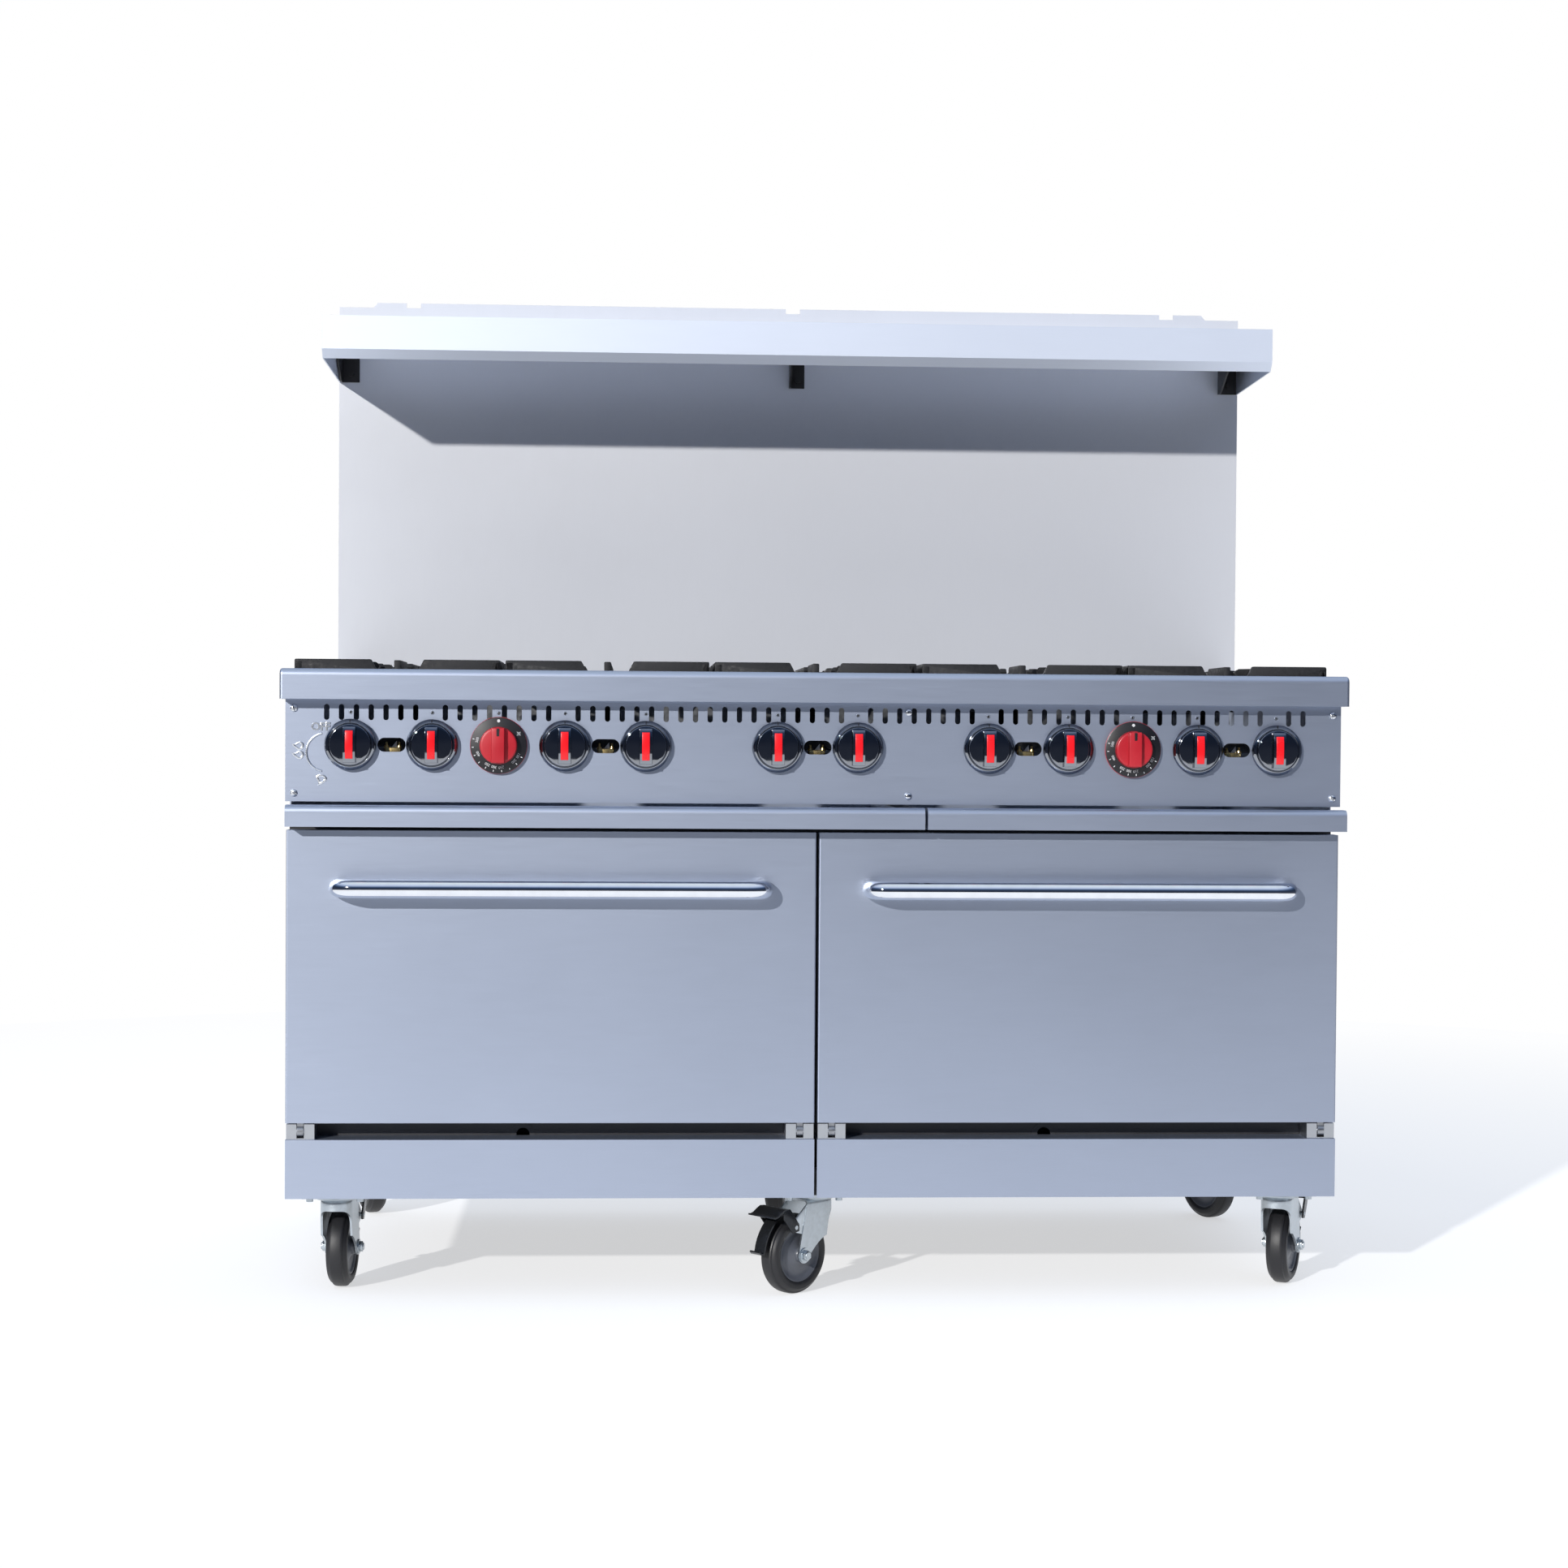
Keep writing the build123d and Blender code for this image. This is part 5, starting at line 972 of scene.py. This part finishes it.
def stage():
    """Pale floor, soft sky and one low sun from the front left."""
    bm = bmesh.new()
    bmesh.ops.create_circle(bm, cap_ends=True, segments=64, radius=FLOOR_R)
    mesh = bpy.data.meshes.new("floor")
    bm.to_mesh(mesh)
    bm.free()
    material, tree, shader = new_material("floor", FLOOR_GREY, 0.0, 1.0)
    shader.inputs["Specular IOR Level"].default_value = 0.0
    coords = tree.nodes.new("ShaderNodeTexCoord")
    reach = tree.nodes.new("ShaderNodeVectorMath")
    reach.operation = "LENGTH"
    tree.links.new(coords.outputs["Object"], reach.inputs[0])
    near, far = 0.35 * FLOOR_R, 0.95 * FLOOR_R
    fade = span(tree, reach.outputs["Value"], 0, 1, near, far)
    grey = blend_colors(tree, fade, FLOOR_GREY, (0.0, 0.0, 0.0), 0.0, 1.0)
    tree.links.new(grey, shader.inputs["Base Color"])
    shader.inputs["Emission Color"].default_value = (0.985, 0.99, 1.0, 1)
    glow = span(tree, reach.outputs["Value"], 0.60, 1.0, near, far)
    tree.links.new(glow, shader.inputs["Emission Strength"])
    mesh.materials.append(material)
    floor = bpy.data.objects.new("floor", mesh)
    bpy.context.scene.collection.objects.link(floor)

    world = bpy.data.worlds.new("sky")
    bpy.context.scene.world = world
    world.use_nodes = True
    tree = world.node_tree
    tree.nodes.clear()
    coords = tree.nodes.new("ShaderNodeTexCoord")
    split = tree.nodes.new("ShaderNodeSeparateXYZ")
    tree.links.new(coords.outputs["Generated"], split.inputs["Vector"])
    ramp = tree.nodes.new("ShaderNodeValToRGB")
    while len(ramp.color_ramp.elements) < len(SKY):
        ramp.color_ramp.elements.new(0.5)
    for element, (position, color) in zip(ramp.color_ramp.elements, SKY):
        element.position = position
        element.color = (*color, 1)
    height = span(tree, split.outputs["Z"], 0, 1, -1, 1)
    tree.links.new(height, ramp.inputs["Fac"])
    lit = tree.nodes.new("ShaderNodeBackground")
    lit.inputs["Strength"].default_value = SKY_STRENGTH
    tree.links.new(ramp.outputs["Color"], lit.inputs["Color"])
    plain = tree.nodes.new("ShaderNodeBackground")
    plain.inputs["Color"].default_value = (1, 1, 1, 1)
    plain.inputs["Strength"].default_value = 1.0
    path = tree.nodes.new("ShaderNodeLightPath")
    mix = tree.nodes.new("ShaderNodeMixShader")
    tree.links.new(path.outputs["Is Camera Ray"], mix.inputs["Fac"])
    tree.links.new(lit.outputs["Background"], mix.inputs[1])
    tree.links.new(plain.outputs["Background"], mix.inputs[2])
    out = tree.nodes.new("ShaderNodeOutputWorld")
    tree.links.new(mix.outputs["Shader"], out.inputs["Surface"])

    sun = bpy.data.lights.new("sun", type="SUN")
    sun.energy = SUN_STRENGTH
    sun.color = (1.0, 0.98, 0.95)
    sun.angle = math.radians(1.5)
    lamp = bpy.data.objects.new("sun", sun)
    lamp.rotation_euler = SUN_TRAVEL.to_track_quat("-Z", "Y").to_euler()
    bpy.context.scene.collection.objects.link(lamp)


LENS = 61.65                    # millimetres, on a 36 mm sensor
YAW, PITCH, ROLL = -0.05527, -0.01895, 0.00696
EYE_X = -0.2616
EYE_DISTANCE = 3.8065           # in front of the rail
EYE_HEIGHT = 0.8114


def camera():
    """Standing view from slightly left of centre."""
    data = bpy.data.cameras.new("camera")
    data.sensor_width = 36
    data.lens = LENS
    data.clip_end = 200
    right = Vector((math.cos(YAW), math.sin(YAW), 0))
    ahead = Vector((-math.sin(YAW) * math.cos(PITCH), math.cos(YAW) * math.cos(PITCH), math.sin(PITCH)))
    up = right.cross(ahead)
    side = math.cos(ROLL) * right + math.sin(ROLL) * up
    top = math.cos(ROLL) * up - math.sin(ROLL) * right
    eye = bpy.data.objects.new("camera", data)
    turn = Matrix((side, top, -ahead)).transposed().to_4x4()
    eye.matrix_world = Matrix.Translation((EYE_X, RAIL_FRONT - EYE_DISTANCE, EYE_HEIGHT)) @ turn
    bpy.context.scene.collection.objects.link(eye)
    bpy.context.scene.camera = eye


finish_cad_nodes()
for number in range(1, 2 * GRATE_COLUMNS + 1):
    burner_knob(number)
for side_name in ("left", "right"):
    thermostat(side_name)
embossed_marks()
for grate_column in range(GRATE_COLUMNS):
    for grate_line in (0, 1):
        grate(grate_column, grate_line)
for number in range(1, 7):
    caster_wheel(number)
    caster_fork(number)
    if f"caster_{number}_brake" in JOINTS:
        caster_brake(number)
panel_screws()
pilot_valves()
lighting_rings()
rear_fixings()
stage()
camera()
bpy.context.scene.view_settings.view_transform = "Standard"
